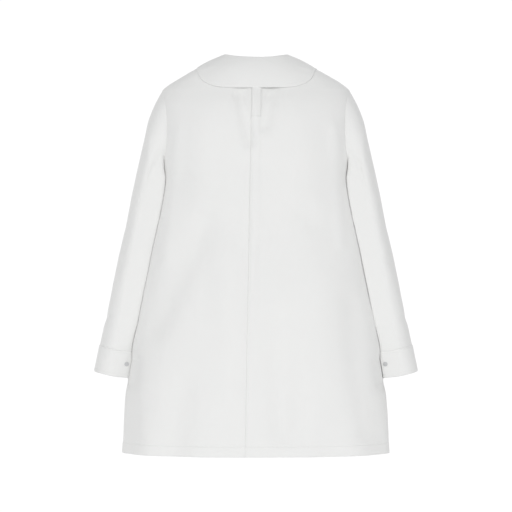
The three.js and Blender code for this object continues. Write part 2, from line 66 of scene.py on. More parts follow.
# Where the coat stands in the frame: the hem, the neck seam and the plane of the side seams.
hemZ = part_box("back_left_panel")[0].z
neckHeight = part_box("back_left_panel")[1].z - hemZ
seamY = (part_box("back_left_panel")[0].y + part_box("front_left_side")[1].y) / 2
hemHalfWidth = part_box("front_left_side")[1].x
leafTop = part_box("front_left_leaf")[1].z - hemZ

coat = {
    "shoulderDrop": 60 * mm,
    "armholeDepth": 179 * mm,
    "armholeHalfDepth": 62 * mm,
    "shoulderHalfWidth": 202 * mm,
    "neckHalfWidth": 85 * mm,
    "neckHalfDepth": 60 * mm,
    "chestHalfDepth": 125 * mm,
    "hemHalfDepth": 150 * mm,
    "squareness": 2.3,
    "armholeRoundness": 2.2,
    "cloth": 0.9 * mm,
    "edgeRound": 0.5,
    "hemDepth": 22 * mm,
    "seamGap": 0.001,
}
tiny = 1e-9
shoulder = neckHeight - coat["shoulderDrop"]
underarm = shoulder - coat["armholeDepth"]


def ease(t):
    t = np.clip(t, 0, 1)
    return t * t * (3 - 2 * t)


def mix(a, b, t):
    return a + (b - a) * t


def through(stations, column):
    # smooth curve through stations (position, value, ...), read at any positions
    places = np.array([s[0] for s in stations], float)
    values = np.array([s[column] for s in stations], float)
    before = np.maximum(np.arange(len(places)) - 1, 0)
    after = np.minimum(np.arange(len(places)) + 1, len(places) - 1)
    slopes = (values[after] - values[before]) / (places[after] - places[before])

    def read(position):
        position = np.asarray(position, float)
        k = np.clip(np.searchsorted(places, position) - 1, 0, len(places) - 2)
        span = places[k + 1] - places[k]
        t = (position - places[k]) / span
        rest = 1 - t
        return (values[k] * (1 + 2 * t) * rest * rest + values[k + 1] * t * t * (3 - 2 * t)
                + slopes[k] * span * t * rest * rest - slopes[k + 1] * span * t * t * rest)
    return read


# Girth of the coat on the way up. The skirt rows give shares of the height, the flare and the
# deepening, the others a share of the height and the change of half width and half depth in mm.
girth = {
    "skirt": ((0, 0, 0), (0.26, 0.1, 0.16), (0.5, 0.36, 0.4), (0.74, 0.65, 0.7), (0.92, 0.9, 0.92)),
    "chest": ((0, 2, 0), (0.28, 9, -4), (0.58, 13, -10), (0.82, 10, -21), (1, 0, -39)),
    "shoulder": ((0.25, -17, 16), (0.57, -48, 8), (0.8, -74, 4)),
}


def girthStations():
    top, chest = coat["shoulderHalfWidth"], coat["chestHalfDepth"]
    flare = hemHalfWidth - top
    deepening = coat["hemHalfDepth"] - chest
    neckX, neckY = coat["neckHalfWidth"], coat["neckHalfDepth"]
    stations = [(up * underarm, hemHalfWidth - out * flare, coat["hemHalfDepth"] - back * deepening)
                for up, out, back in girth["skirt"]]
    stations += [(underarm + up * coat["armholeDepth"], top + out * mm, chest + back * mm)
                 for up, out, back in girth["chest"]]
    stations += [(shoulder + up * coat["shoulderDrop"], top + out * mm, neckY + back * mm)
                 for up, out, back in girth["shoulder"]]
    return stations + [(neckHeight, neckX, neckY)]


normalStep = {"angle": 0.004, "height": 0.5 * mm}
halfWidth = through(girthStations(), 1)
halfDepth = through(girthStations(), 2)


def signedPower(value, power):
    return np.sign(value) * np.abs(value) ** power


def bodyPoint(angle, h):
    power = 2 / coat["squareness"]
    x = halfWidth(h) * signedPower(np.cos(angle), power)
    y = halfDepth(h) * signedPower(np.sin(angle), power)
    return np.stack([x, y, h + 0 * angle], -1)


def unit(v):
    return v / np.maximum(np.linalg.norm(v, axis=-1, keepdims=True), tiny)


def bodyNormal(angle, h):
    turn, rise = normalStep["angle"], normalStep["height"]
    around = bodyPoint(angle + turn, h) - bodyPoint(angle - turn, h)
    up = bodyPoint(angle, h + rise) - bodyPoint(angle, h - rise)
    return unit(np.cross(around, up))


def angleAt(x, h, side):
    # angle round the coat where the surface has this x: side 1 behind, -1 in front
    share = np.minimum(np.abs(x) / halfWidth(h), 1)
    return side * np.arccos(np.sign(x) * share ** (coat["squareness"] / 2))


def armholeDepthAt(h):
    # half depth of the armhole at this height: round at both ends, nothing outside them
    middle = (shoulder + underarm) / 2
    share = np.abs(h - middle) / (coat["armholeDepth"] / 2)
    return coat["armholeHalfDepth"] * np.sqrt(np.maximum(1 - share ** coat["armholeRoundness"], 0))


def edgeAngle(h):
    share = np.minimum(armholeDepthAt(h) / halfDepth(h), 1)
    return np.arcsin(share ** (coat["squareness"] / 2))


# Small creases: a fixed sum of waves through space, so they run on across every seam.
crease = {
    "seed": 11,
    "upright": (1.0, 1.0, 0.55),
    "scatter": (0.75, 1.3),
    "layers": ((0.11, 0.55 * mm, 14), (0.05, 0.22 * mm, 18), (0.022, 0.08 * mm, 18)),  # length, height, waves
}
creaseRandom = np.random.default_rng(crease["seed"])
creaseWaves = []
for wavelength, height, count in crease["layers"]:
    for _ in range(count):
        direction = unit(creaseRandom.normal(size=3) * np.array(crease["upright"]))
        creaseWaves.append((direction * 2 * math.pi / (wavelength * creaseRandom.uniform(*crease["scatter"])),
                            creaseRandom.uniform(0, 2 * math.pi), height / math.sqrt(count)))


def creases(points):
    total = np.zeros(points.shape[:-1])
    for wave, phase, height in creaseWaves:
        total += height * np.sin(points @ wave + phase)
    return total


# Folds: each runs from one (x, height) to another, in millimetres, with a width and a lift.
backFolds = (
    ((31, 760), (14, 668), 16, -10.0),
    ((-28, 760), (-17, 700), 18, -10.0),
    ((-46, 275), (-58, 60), 30, -9.0),
    ((-58, 120), (-62, -20), 30, -6.0),
    ((108, 486), (214, 270), 30, -8.0),
    ((30, 610), (34, 440), 20, -3.0),
    ((-34, 590), (-50, 400), 30, -3.5),
    ((-92, 690), (-96, 620), 50, 4.5),
    ((-130, 360), (-142, 100), 56, 7.0),
    ((64, 420), (58, 130), 32, 6.0),
    ((150, 150), (168, -20), 30, -5.0),
    ((-166, 690), (-178, 450), 14, 3.0),
    ((166, 680), (192, 410), 16, 3.0),
    ((112, 700), (116, 560), 34, 3.5),
    ((-200, 320), (-228, 50), 26, -5.0),
    ((262, 196), (268, 150), 16, -6.0),
    ((-266, 196), (-270, 150), 16, -6.0),
    ((-100, 505), (-160, 470), 22, -2.6),
    ((96, 560), (150, 590), 20, -2.2),
)
frontFolds = (
    ((120, 470), (150, 340), 24, -4.5),
    ((-120, 480), (-150, 330), 24, -4.5),
    ((40, 120), (52, -20), 24, -5.0),
    ((-70, 130), (-60, -20), 26, -5.0),
    ((170, 130), (178, -20), 26, 5.0),
    ((-165, 140), (-175, -20), 26, 5.0),
    ((150, 690), (186, 610), 16, -3.4),
    ((-150, 690), (-186, 610), 16, -3.4),
)


def foldLift(x, h, folds):
    total = np.zeros(np.broadcast(x, h).shape)
    for (x0, h0), (x1, h1), width, lift in folds:
        ax, ah, bx, bh = x0 * mm, h0 * mm, x1 * mm, h1 * mm
        along = np.array([bx - ax, bh - ah])
        t = ((x - ax) * along[0] + (h - ah) * along[1]) / along.dot(along)
        near = np.clip(t, 0, 1)
        away = np.hypot(x - ax - near * along[0], h - ah - near * along[1])
        total += lift * mm * np.exp(-(away / (width * mm)) ** 2)
    return total


# How the cloth hangs: waves towards the hem, little lift left by the neck seam.
hang = {
    "waveHeight": 2.6 * mm,
    "waveReach": 0.26,
    "waves": 11,
    "phase": 0.6,
    "neckReach": 0.05,
    "neckShare": 0.25,
}


def drape(angle, h):
    point = bodyPoint(angle, h)
    behind = ease(np.sin(angle) * 2 + 0.5)
    lift = behind * foldLift(point[..., 0], h, backFolds)
    lift += (1 - behind) * foldLift(point[..., 0], h, frontFolds)
    reach = hang["waveReach"]
    lift += hang["waveHeight"] * ease((reach - h) / reach) * np.sin(hang["waves"] * angle + hang["phase"])
    fade = ease((neckHeight - h) / hang["neckReach"])
    return (lift + creases(point)) * mix(hang["neckShare"], 1, fade)


def drapeAlong(angle, h, lift):
    # point on the draped cloth, lifted off it
    return bodyPoint(angle, h) + bodyNormal(angle, h) * np.expand_dims(drape(angle, h) + lift, -1)


def toFrame(points):
    return points + np.array([0, seamY, hemZ])


class Socket:
    # a shader value that can be written into sums and products
    def __init__(self, tree, link):
        self.tree = tree
        self.link = link

    def math(self, operation, *others, first=None):
        node = self.tree.nodes.new("ShaderNodeMath")
        node.operation = operation
        values = [self if first is None else first, *others]
        for socket, value in zip(node.inputs, values):
            if isinstance(value, Socket):
                self.tree.links.new(value.link, socket)
            else:
                socket.default_value = value
        return Socket(self.tree, node.outputs[0])

    def __add__(self, other):
        return self.math("ADD", other)

    def __sub__(self, other):
        return self.math("SUBTRACT", other)

    def __mul__(self, other):
        return self.math("MULTIPLY", other)

    def __radd__(self, other):
        return self.math("ADD", other)

    def __rmul__(self, other):
        return self.math("MULTIPLY", other)

    def __rsub__(self, other):
        return self.math("SUBTRACT", self, first=other)

    def sine(self):
        return self.math("SINE")


class Shader:
    # one material, its nodes made by add() and its values by Socket
    def __init__(self, name):
        self.material = bpy.data.materials.new(name)
        self.material.use_nodes = True
        self.tree = self.material.node_tree
        self.surface = self.tree.nodes["Principled BSDF"]

    def add(self, kind, settings=None, inputs=None, output=0):
        node = self.tree.nodes.new(kind)
        for key, value in (settings or {}).items():
            setattr(node, key, value)
        for key, value in (inputs or {}).items():
            if isinstance(value, Socket):
                self.tree.links.new(value.link, node.inputs[key])
            else:
                node.inputs[key].default_value = value
        return Socket(self.tree, node.outputs[output])

    def set(self, **values):
        for key, value in values.items():
            socket = self.surface.inputs[key.replace("_", " ")]
            if isinstance(value, Socket):
                self.tree.links.new(value.link, socket)
            else:
                socket.default_value = value
        return self


twill = {
    "color": (0.87, 0.87, 0.855, 1),
    "shade": (0.835, 0.836, 0.827, 1),
    "rib": 0.9 * mm,
    "depth": 0.10 * mm,
    "weftSlant": 0.35,
    "weftPitch": 0.62,
    "ribParts": (0.5, 0.25, 0.5),  # diagonal, weft, slub
    "slubTone": 0.25,
    "roughness": 0.9,
    "slubPolish": 0.06,
    "facingPitch": 0.8,
}


def clothMaterial(name, color, shade, rib, depth):
    # woven cloth: twill ribs across the piece's own map, slubs, and a slight unevenness of the white
    shader = Shader(name)
    uv = shader.add("ShaderNodeUVMap", {"uv_map": "cloth"})
    parts = shader.tree.nodes.new("ShaderNodeSeparateXYZ")
    shader.tree.links.new(uv.link, parts.inputs[0])
    across = Socket(shader.tree, parts.outputs[0])
    along = Socket(shader.tree, parts.outputs[1])
    diagonal = ((across + along) * (2 * math.pi / rib)).sine()
    weft = ((along - across * twill["weftSlant"]) * (2 * math.pi / (rib * twill["weftPitch"]))).sine()
    slub = shader.add("ShaderNodeTexNoise", {"noise_dimensions": "2D"},
                      {"Vector": uv, "Scale": 900.0, "Detail": 2.0, "Roughness": 0.6})
    patches = shader.add("ShaderNodeTexNoise", None,
                         {"Vector": shader.add("ShaderNodeTexCoord", output=3), "Scale": 7.0, "Detail": 4.0})
    diagonalPart, weftPart, slubPart = twill["ribParts"]
    ribs = diagonal * diagonalPart + weft * weftPart + slub * slubPart
    tone = patches * (1 - twill["slubTone"]) + slub * twill["slubTone"]
    base = shader.add("ShaderNodeMix", {"data_type": "RGBA"}, {0: tone, 6: shade, 7: color}, output=2)
    bump = shader.add("ShaderNodeBump", None, {"Strength": 0.55, "Distance": depth, "Height": ribs})
    shader.set(Base_Color=base, Roughness=twill["roughness"] - twill["slubPolish"] * slub, Normal=bump)
    shader.set(Sheen_Weight=0.12, Sheen_Roughness=0.5, Specular_IOR_Level=0.25)
    return shader.material


nickel = {
    "color": (0.72, 0.725, 0.73, 1),
    "worn": (0.56, 0.565, 0.57, 1),
    "roughness": 0.3,
    "wearRoughness": 0.2,
    "grainDepth": 0.04 * mm,
}


def metalMaterial(name):
    # satin nickel with fine grain and a little wear
    shader = Shader(name)
    place = shader.add("ShaderNodeTexCoord", output=3)
    grain = shader.add("ShaderNodeTexNoise", None, {"Vector": place, "Scale": 2600.0, "Detail": 3.0})
    wear = shader.add("ShaderNodeTexNoise", None, {"Vector": place, "Scale": 260.0, "Detail": 4.0})
    base = shader.add("ShaderNodeMix", {"data_type": "RGBA"},
                      {0: wear, 6: nickel["worn"], 7: nickel["color"]}, output=2)
    bump = shader.add("ShaderNodeBump", None,
                      {"Strength": 0.2, "Distance": nickel["grainDepth"], "Height": grain})
    rough = nickel["roughness"] + nickel["wearRoughness"] * wear
    shader.set(Base_Color=base, Roughness=rough, Normal=bump, Metallic=1.0)
    return shader.material


coatCloth = clothMaterial("coatTwill", twill["color"], twill["shade"], twill["rib"], twill["depth"])
facingCloth = clothMaterial(
    "facingTwill", twill["color"], twill["shade"], twill["rib"] * twill["facingPitch"], twill["depth"])
tapeCloth = clothMaterial(
    "wovenTape", (0.80, 0.80, 0.785, 1), (0.73, 0.73, 0.72, 1), 0.7 * mm, 0.12 * mm)
threadCloth = clothMaterial(
    "sewingThread", (0.86, 0.86, 0.85, 1), (0.80, 0.80, 0.79, 1), 0.35 * mm, 0.05 * mm)
snapMetal = metalMaterial("satinNickel")


def addObject(name, vertices, faces, material, uv=None):
    mesh = bpy.data.meshes.new(name)
    mesh.from_pydata([tuple(v) for v in vertices], [], faces)
    if uv is not None:
        layer = mesh.uv_layers.new(name="cloth")
        corners = np.empty(len(mesh.loops), int)
        mesh.loops.foreach_get("vertex_index", corners)
        layer.data.foreach_set("uv", np.asarray(uv, float)[corners].ravel())
    mesh.polygons.foreach_set("use_smooth", [True] * len(mesh.polygons))
    mesh.materials.append(material)
    mesh.update()
    piece = bpy.data.objects.new(name, mesh)
    bpy.context.scene.collection.objects.link(piece)
    return piece


def arcLengths(points, axis):
    steps = np.linalg.norm(np.diff(points, axis=axis), axis=-1)
    total = np.cumsum(steps, axis=axis)
    pad = [(0, 0), (0, 0)]
    pad[axis] = (1, 0)
    return np.pad(total, pad)


def turnOutwards(piece):
    check = bmesh.new()
    check.from_mesh(piece.data)
    bmesh.ops.recalc_face_normals(check, faces=check.faces)
    check.to_mesh(piece.data)
    check.free()


def clothSheet(name, node, outer, inner, material=None, wraps=False):
    # closed sheet of cloth between two grids of points, rows by columns, with rounded edges
    rows, columns = outer.shape[:2]
    count = rows * columns

    def at(j, i):
        return j * columns + i % columns

    faces = []
    last = columns if wraps else columns - 1
    for j in range(rows - 1):
        for i in range(last):
            quad = (at(j, i), at(j, i + 1), at(j + 1, i + 1), at(j + 1, i))
            faces.append(quad)
            faces.append(tuple(count + k for k in reversed(quad)))
    if wraps:
        loops = [[(0, i) for i in range(columns)], [(rows - 1, i) for i in reversed(range(columns))]]
    else:
        loops = [[(0, i) for i in range(columns - 1)] + [(j, columns - 1) for j in range(rows - 1)]
                 + [(rows - 1, i) for i in range(columns - 1, 0, -1)]
                 + [(j, 0) for j in range(rows - 1, 0, -1)]]
    across = arcLengths(outer, 1)
    along = arcLengths(outer, 0)
    uv = np.stack([across, along], -1).reshape(-1, 2)
    vertices = [outer.reshape(-1, 3), inner.reshape(-1, 3)]
    maps = [uv, uv]
    base = 2 * count
    for loop in loops:
        ring, ringUv = [], []
        for j, i in loop:
            inJ = 1 if j == 0 else (rows - 2 if j == rows - 1 else j)
            inI = i if wraps else (1 if i == 0 else (columns - 2 if i == columns - 1 else i))
            middle = (outer[j, i] + inner[j, i]) / 2
            away = middle - (outer[inJ, inI] + inner[inJ, inI]) / 2
            size = np.linalg.norm(outer[j, i] - inner[j, i])
            ring.append(middle + away / max(np.linalg.norm(away), tiny) * size * coat["edgeRound"])
            ringUv.append(uv[at(j, i)])
        vertices.append(np.array(ring))
        maps.append(np.array(ringUv))
        size = len(loop)
        for k, (j, i) in enumerate(loop):
            nextJ, nextI = loop[(k + 1) % size]
            a, b = at(j, i), at(nextJ, nextI)
            c, d = base + k, base + (k + 1) % size
            faces.append((b, a, c, d))
            faces.append((d, c, count + a, count + b))
        base += size
    vertices = toFrame(np.concatenate(vertices))
    piece = addObject(name, vertices, faces, material or coatCloth, np.concatenate(maps))
    check = bmesh.new()
    check.from_mesh(piece.data)
    if check.calc_volume(signed=True) < 0:
        bmesh.ops.reverse_faces(check, faces=check.faces)
        check.to_mesh(piece.data)
    check.free()
    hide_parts(*([node] if isinstance(node, str) else node))
    piece["clothWidth"] = float(across.max())
    piece["clothLength"] = float(along.max())
    cells = np.cross(outer[1:, 1:] - outer[:-1, :-1], outer[1:, :-1] - outer[:-1, 1:])
    area = float(np.linalg.norm(cells, axis=-1).sum() / 2)
    if wraps:
        seam = np.cross(outer[1:, 0] - outer[:-1, -1], outer[1:, -1] - outer[:-1, 0])
        area += float(np.linalg.norm(seam, axis=-1).sum() / 2)
        piece["clothWidth"] += float(np.linalg.norm(outer[:, 0] - outer[:, -1], axis=-1).max())
    piece["clothArea"] = area
    return piece


def declareSheet(piece):
    flat = (piece["clothWidth"] + 2 * mm, piece["clothLength"] + 2 * mm)


seamRows = {"gaps": (0, 0.4 * mm, 1.2 * mm, 2.6 * mm, 4.5 * mm), "least": 0.3 * mm}


def spread(low, high, step, dense=()):
    # heights from low to high, closer together round the dense ones
    count = max(int(round((high - low) / step)), 2)
    heights = list(np.linspace(low, high, count + 1))
    for middle in dense:
        for gap in seamRows["gaps"]:
            for value in (middle - gap, middle + gap):
                if low < value < high and min(abs(value - h) for h in heights) > seamRows["least"]:
                    heights.append(value)
    return np.array(sorted(heights))


armholeEnds = (underarm, shoulder)
pucker = {"reach": 3.5 * mm, "share": 0.5, "rate": 520}
seamDips = (0.9 * mm, 0, 0, 0.5 * mm)


def bodyGrid(fromAngle, toAngle, heights, columns, lift, thickness, edges=(0, 0, 0, 0)):
    # outer and inner grids of a panel on the body; edges are seam dips: from, to, low, high
    h = heights[:, None]
    share = np.linspace(0, 1, columns)[None, :]
    angle = mix(fromAngle(heights)[:, None], toAngle(heights)[:, None], share)
    h = h + 0 * angle
    point = bodyPoint(angle, h)
    away = drape(angle, h) + lift(point[..., 0], h)
    acrossDistance = arcLengths(point, 1)
    upDistance = arcLengths(point, 0)
    ends = (acrossDistance, acrossDistance[:, -1:] - acrossDistance,
            upDistance, upDistance[-1:, :] - upDistance)
    for dip, distance in zip(edges, ends):
        place = h if distance is ends[0] or distance is ends[1] else point[..., 0]
        uneven = 1 + pucker["share"] * np.sin(place * pucker["rate"])
        away = away - dip * np.exp(-(distance / pucker["reach"]) ** 2) * uneven
    normal = bodyNormal(angle, h)
    outer = point + normal * away[..., None]
    inner = point + normal * (away - thickness)[..., None]
    return outer, inner


def noLift(x, h):
    return np.zeros(np.broadcast(x, h).shape)


def ridge(x, middle, width):
    return np.exp(-((x - middle) / width) ** 2)


def hemRoll(x, h):
    # the turned hem is thicker, with the stitch line pressed in above it
    depth = coat["hemDepth"]
    return 0.5 * mm * ease((depth - h) / (2 * mm)) - 0.35 * mm * ridge(h, depth, 1.6 * mm)


# Stitch lines, gathered while the cloth is made: each joins a set that moves as its cloth does.
seamSets = {}


def addSeam(name, points, ride=None, blend=None):
    seamSets.setdefault(name, {"lines": [], "ride": ride, "blend": blend})["lines"].append(toFrame(points))


def seamOnBody(angles, heights, lift):
    angles, heights = np.broadcast_arrays(np.asarray(angles, float), np.asarray(heights, float))
    away = lift(bodyPoint(angles, heights)[..., 0], heights) + 0.1 * mm
    return drapeAlong(angles, heights, away)


print("frame and materials ready")

backLap = {
    "topX": 9 * mm,
    "hemX": 23 * mm,
    "under": 30 * mm,
    "tabWidth": 20 * mm,
    "tabLength": 66 * mm,
    "tabDrop": 52 * mm,
    "stripFoot": 290 * mm,
    "stripFade": 30 * mm,
    "stripLift": 1.2 * mm,
    "ridgeLift": 0.9 * mm,
    "ridgeWidth": 9 * mm,
    "edgeFall": 5 * mm,
    "stitchIn": 5 * mm,
    "stitchDip": 0.4 * mm,
    "stepFrom": 9 * mm,
    "stepWidth": 8 * mm,
    "layerGap": 0.12 * mm,
    "tabLift": 0.75 * mm,
    "tabCloth": 0.6 * mm,
}


def backLapX(h):
    return mix(backLap["hemX"], backLap["topX"], np.minimum(h / shoulder, 1))


def rightBackLift(x, h):
    # a stitched strip stands a little proud beside the edge of the lap, down to the seat
    fromEdge = backLapX(h) - x
    foot = ease((h - backLap["stripFoot"]) / backLap["stripFade"])
    strip = backLap["stripLift"] * ease((backLap["tabWidth"] + 2 * mm - fromEdge) / (4 * mm)) * foot
    soft = backLap["ridgeLift"] * ridge(fromEdge, backLap["ridgeWidth"], backLap["ridgeWidth"])
    stitched = backLap["stitchDip"] * ridge(fromEdge, backLap["stitchIn"], 1.2 * mm)
    raised = (strip + soft) * ease((fromEdge + 0.2 * mm) / backLap["edgeFall"])
    return raised - stitched + hemRoll(x, h)


def leftBackLift(x, h):
    step = ease((backLapX(h) + backLap["stepFrom"] - x) / backLap["stepWidth"])
    return hemRoll(x, h) - (coat["cloth"] + backLap["layerGap"]) * step


def makeBack():
    cloth = coat["cloth"]
    heights = spread(0, neckHeight, 4.6 * mm, armholeEnds + (coat["hemDepth"],))
    gap = coat["seamGap"]
    right = clothSheet("backRightPanel", "back_right_panel", *bodyGrid(
        lambda h: math.pi - edgeAngle(h) - gap, lambda h: angleAt(backLapX(h), h, 1),
        heights, 110, rightBackLift, cloth, seamDips))
    left = clothSheet("backLeftPanel", "back_left_panel", *bodyGrid(
        lambda h: edgeAngle(h) + gap, lambda h: angleAt(backLapX(h) - backLap["under"], h, 1),
        heights, 118, leftBackLift, cloth, seamDips))
    tabHigh = neckHeight - backLap["tabDrop"]
    tab = clothSheet("backPleatTab", "back_pleat_tab", *bodyGrid(
        lambda h: angleAt(backLapX(h) - 1 * mm, h, 1),
        lambda h: angleAt(backLapX(h) - backLap["tabWidth"], h, 1),
        spread(tabHigh - backLap["tabLength"], tabHigh, 2 * mm), 20,
        lambda x, h: rightBackLift(x, h) + backLap["tabLift"], backLap["tabCloth"]))

    def across(fromAngle, toAngle):
        return np.linspace(fromAngle, toAngle, 160)

    hemLine = coat["hemDepth"]
    side = edgeAngle(hemLine)
    lap = float(angleAt(backLapX(hemLine), hemLine, 1))
    addSeam("torso", seamOnBody(across(math.pi - side, lap), hemLine, rightBackLift), ride="torso")
    addSeam("torso", seamOnBody(across(side, lap - 0.002), hemLine, leftBackLift), ride="torso")
    lapHeights = np.linspace(2 * mm, tabHigh + 8 * mm, 220)
    for inset, foot in ((backLap["stitchIn"], 0), (backLap["tabWidth"] + 1 * mm, backLap["stripFoot"])):
        rows = lapHeights[lapHeights > foot]
        angles = angleAt(backLapX(rows) - inset, rows, 1)
        addSeam("torso", seamOnBody(angles, rows, rightBackLift), ride="torso")
    for mirror in (1, -1):
        holeHeights = np.linspace(underarm + 6 * mm, shoulder - 3 * mm, 80)
        edge = edgeAngle(holeHeights) + backLap["stitchIn"] / halfDepth(holeHeights)
        line = edge if mirror > 0 else math.pi - edge
        addSeam("torso", seamOnBody(line, holeHeights, noLift), ride="torso")
    for piece in (right, left, tab):
        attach(piece, "torso")
        declareSheet(piece)


makeBack()
print("back panels made")

front = {
    "overlap": 20 * mm,
    "lap": 6.2 * mm,
    "lapStart": 84 * mm,
    "lapEnd": 40 * mm,
    "facingWidth": 52 * mm,
    "lapelWidth": 58 * mm,
    "lapelDrop": 52 * mm,
    "lapelFoot": 6 * mm,
    "lapelRise": 8 * mm,
    "lapelLift": 0.8 * mm,
    "lapelPuff": 1.2 * mm,
    "lapelCloth": 1.4 * mm,
    "hingeHemX": 225 * mm,
    "hingeTopX": 190 * mm,
    "hingeBulge": 7 * mm,
    "hingeGap": 0.2 * mm,
    "bend": (0.215, 0.165),
    "topGap": 0.4 * mm,
    "neckInset": 9 * mm,
    "stitchIns": (5 * mm, 34 * mm),
    "facingGap": 0.3 * mm,
    "facingInset": 1 * mm,
}
openingDrop = neckHeight - leafTop


def lapLift(x, h):
    fade = 1 - ease((h - leafTop) / (0.6 * openingDrop))
    share = ease((front["lapStart"] - x) / (front["lapStart"] - front["lapEnd"]))
    return front["lap"] * share * fade


def hingeX(h):
    bulge = front["hingeBulge"] * np.sin(np.pi * np.clip(h / leafTop, 0, 1))
    return mix(front["hingeHemX"], front["hingeTopX"], h / leafTop) + bulge


def openingX(h):
    return mix(-front["overlap"], coat["neckHalfWidth"] - front["neckInset"], (h - leafTop) / openingDrop)


def frontAngle(mirror, x, h):
    return angleAt(mirror * x, h, -1)


def sideAngle(mirror, h):
    angle = edgeAngle(h) + coat["seamGap"]
    return -angle if mirror > 0 else angle - math.pi


def makeFront(side, mirror):
    cloth = coat["cloth"]
    body = f"{side}_front"

    def layer(x, h):
        return lapLift(x, h) if mirror > 0 else noLift(x, h)

    def hinge(h, shift):
        return frontAngle(mirror, hingeX(h) + shift, h)

    def leafLift(x, h):
        return layer(x, h) + hemRoll(x, h)

    name = side.capitalize()
    strip = clothSheet(f"front{name}Side", f"front_{side}_side", *bodyGrid(
        lambda h: sideAngle(mirror, h), lambda h: hinge(h, front["hingeGap"]),
        spread(0, leafTop, 5 * mm, armholeEnds + (coat["hemDepth"],)), 36, hemRoll, cloth,
        (seamDips[0], 0, 0, 0)))
    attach(strip, "torso")
    declareSheet(strip)

    chest = clothSheet(f"front{name}Chest", f"front_{side}_chest", *bodyGrid(
        lambda h: sideAngle(mirror, h), lambda h: frontAngle(mirror, openingX(h), h),
        spread(leafTop + front["topGap"], neckHeight, 4 * mm, armholeEnds), 80, layer, cloth, seamDips))
    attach(chest, "torso")
    declareSheet(chest)

    leaf = clothSheet(f"front{name}Leaf", f"front_{side}_leaf", *bodyGrid(
        lambda h: hinge(h, -front["hingeGap"]), lambda h: frontAngle(mirror, -front["overlap"], h),
        spread(0, leafTop - front["topGap"], 5 * mm, (coat["hemDepth"],)), 92, leafLift, cloth))
    low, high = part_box(f"front_{side}_leaf")
    span = [(mirror * x, low.y, high.z) for x in front["bend"]]
    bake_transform(leaf)

    hemLine = coat["hemDepth"]
    hingeLine = float(hinge(hemLine, 0))
    edgeX = front["facingInset"] - front["overlap"]
    sweep = np.linspace(hingeLine, float(frontAngle(mirror, edgeX, hemLine)), 100)
    addSeam(body, seamOnBody(sweep, hemLine, leafLift), blend=("torso", body, *span))
    sweep = np.linspace(float(sideAngle(mirror, hemLine)), hingeLine, 40)
    addSeam("torso", seamOnBody(sweep, hemLine, hemRoll), ride="torso")
    rows = np.linspace(2 * mm, leafTop - 2 * mm, 200)
    for inset in front["stitchIns"]:
        addSeam(body, seamOnBody(frontAngle(mirror, inset - front["overlap"], rows), rows, leafLift),
                blend=("torso", body, *span))
    declareSheet(leaf)

    facing = clothSheet(f"front{name}Facing", f"front_{side}_facing", *bodyGrid(
        lambda h: frontAngle(mirror, front["facingWidth"] - front["overlap"], h),
        lambda h: frontAngle(mirror, edgeX, h),
        spread(front["facingInset"], leafTop - 2 * mm, 5 * mm), 24,
        lambda x, h: layer(x, h) - cloth - front["facingGap"], cloth), material=facingCloth)
    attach(facing, body)
    declareSheet(facing)

    lapelLow = leafTop + front["lapelRise"]
    lapelHigh = neckHeight - front["lapelDrop"]

    def lapelShare(h):
        return (h - lapelLow) / (lapelHigh - lapelLow)

    def lapelOuter(h):
        return openingX(h) + mix(front["lapelFoot"], front["lapelWidth"], lapelShare(h))

    def lapelLift(x, h):
        puff = front["lapelPuff"] * np.sin(np.clip(lapelShare(h), 0, 1) * np.pi)
        return layer(x, h) + cloth + front["lapelLift"] + puff

    lapel = clothSheet(f"lapel{name}", f"lapel_{side}", *bodyGrid(
        lambda h: frontAngle(mirror, lapelOuter(h), h), lambda h: frontAngle(mirror, openingX(h), h),
        spread(lapelLow, lapelHigh, 3 * mm), 26, lapelLift, front["lapelCloth"]))
    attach(lapel, "torso")
    declareSheet(lapel)


makeFront("left", 1)
makeFront("right", -1)
print("fronts made")

sleeve = {
    "slope": 0.2168,
    "capSpread": 16 * mm,
    "capHeight": 86 * mm,
    "gap": 2.6 * mm,
    "upperDepth": 70 * mm,
    "cuffDepthHalf": 43 * mm,
    "forward": 14 * mm,
    "tuck": 3 * mm,
    "press": 0.4,
    "contact": 0.5 * mm,
    "cuffDepth": 55 * mm,
    "cuffSwell": 0.9 * mm,
    "cuffCloth": 1.6 * mm,
    "cuffStitches": (3.5 * mm, 49 * mm),
    "turn": 0.27,
    "slow": 0.03,
    "outerTurn": 0.11,
    "cloth": 0.9 * mm,
    "studRise": 28 * mm,
    "studTurn": 0.333,
    "bend": ((0.204, 0.172), (0.228, 0.1745)),  # where the bend at the armhole starts and ends: x, drop
    "around": 108,
    "capRows": (10, 0.06),
    "armRows": 126,
    "cuffRows": 30,
}
cuffSeats = {}
cuffOuter = 174 * mm
cuffInner = 158 * mm
sleeveRun = shoulder - cuffOuter
cuffSeam = 1 - sleeve["cuffDepth"] / sleeveRun
armDepth = through([
    (0, coat["armholeHalfDepth"]),
    (0.25, sleeve["upperDepth"]),
    (0.55, 0.92 * sleeve["upperDepth"]),
    (0.8, 0.5 * (sleeve["upperDepth"] + sleeve["cuffDepthHalf"])),
    (1, sleeve["cuffDepthHalf"]),
], 1)


def sleeveEdge(h):
    cap = np.maximum((h - (shoulder - sleeve["capHeight"])) / sleeve["capHeight"], 0)
    return coat["shoulderHalfWidth"] + sleeve["capSpread"] * (1 - cap ** 3) + sleeve["slope"] * (shoulder - h)


def pressure(side, s):
    # 1 where the arm lies against the body, 0 elsewhere
    start = -0.35 + 0.4 * ease((s - 0.12) / 0.4) - 0.35 * ease((s - 0.7) / 0.3)
    return ease((start - side) / sleeve["press"]) * ease(s / 0.13)


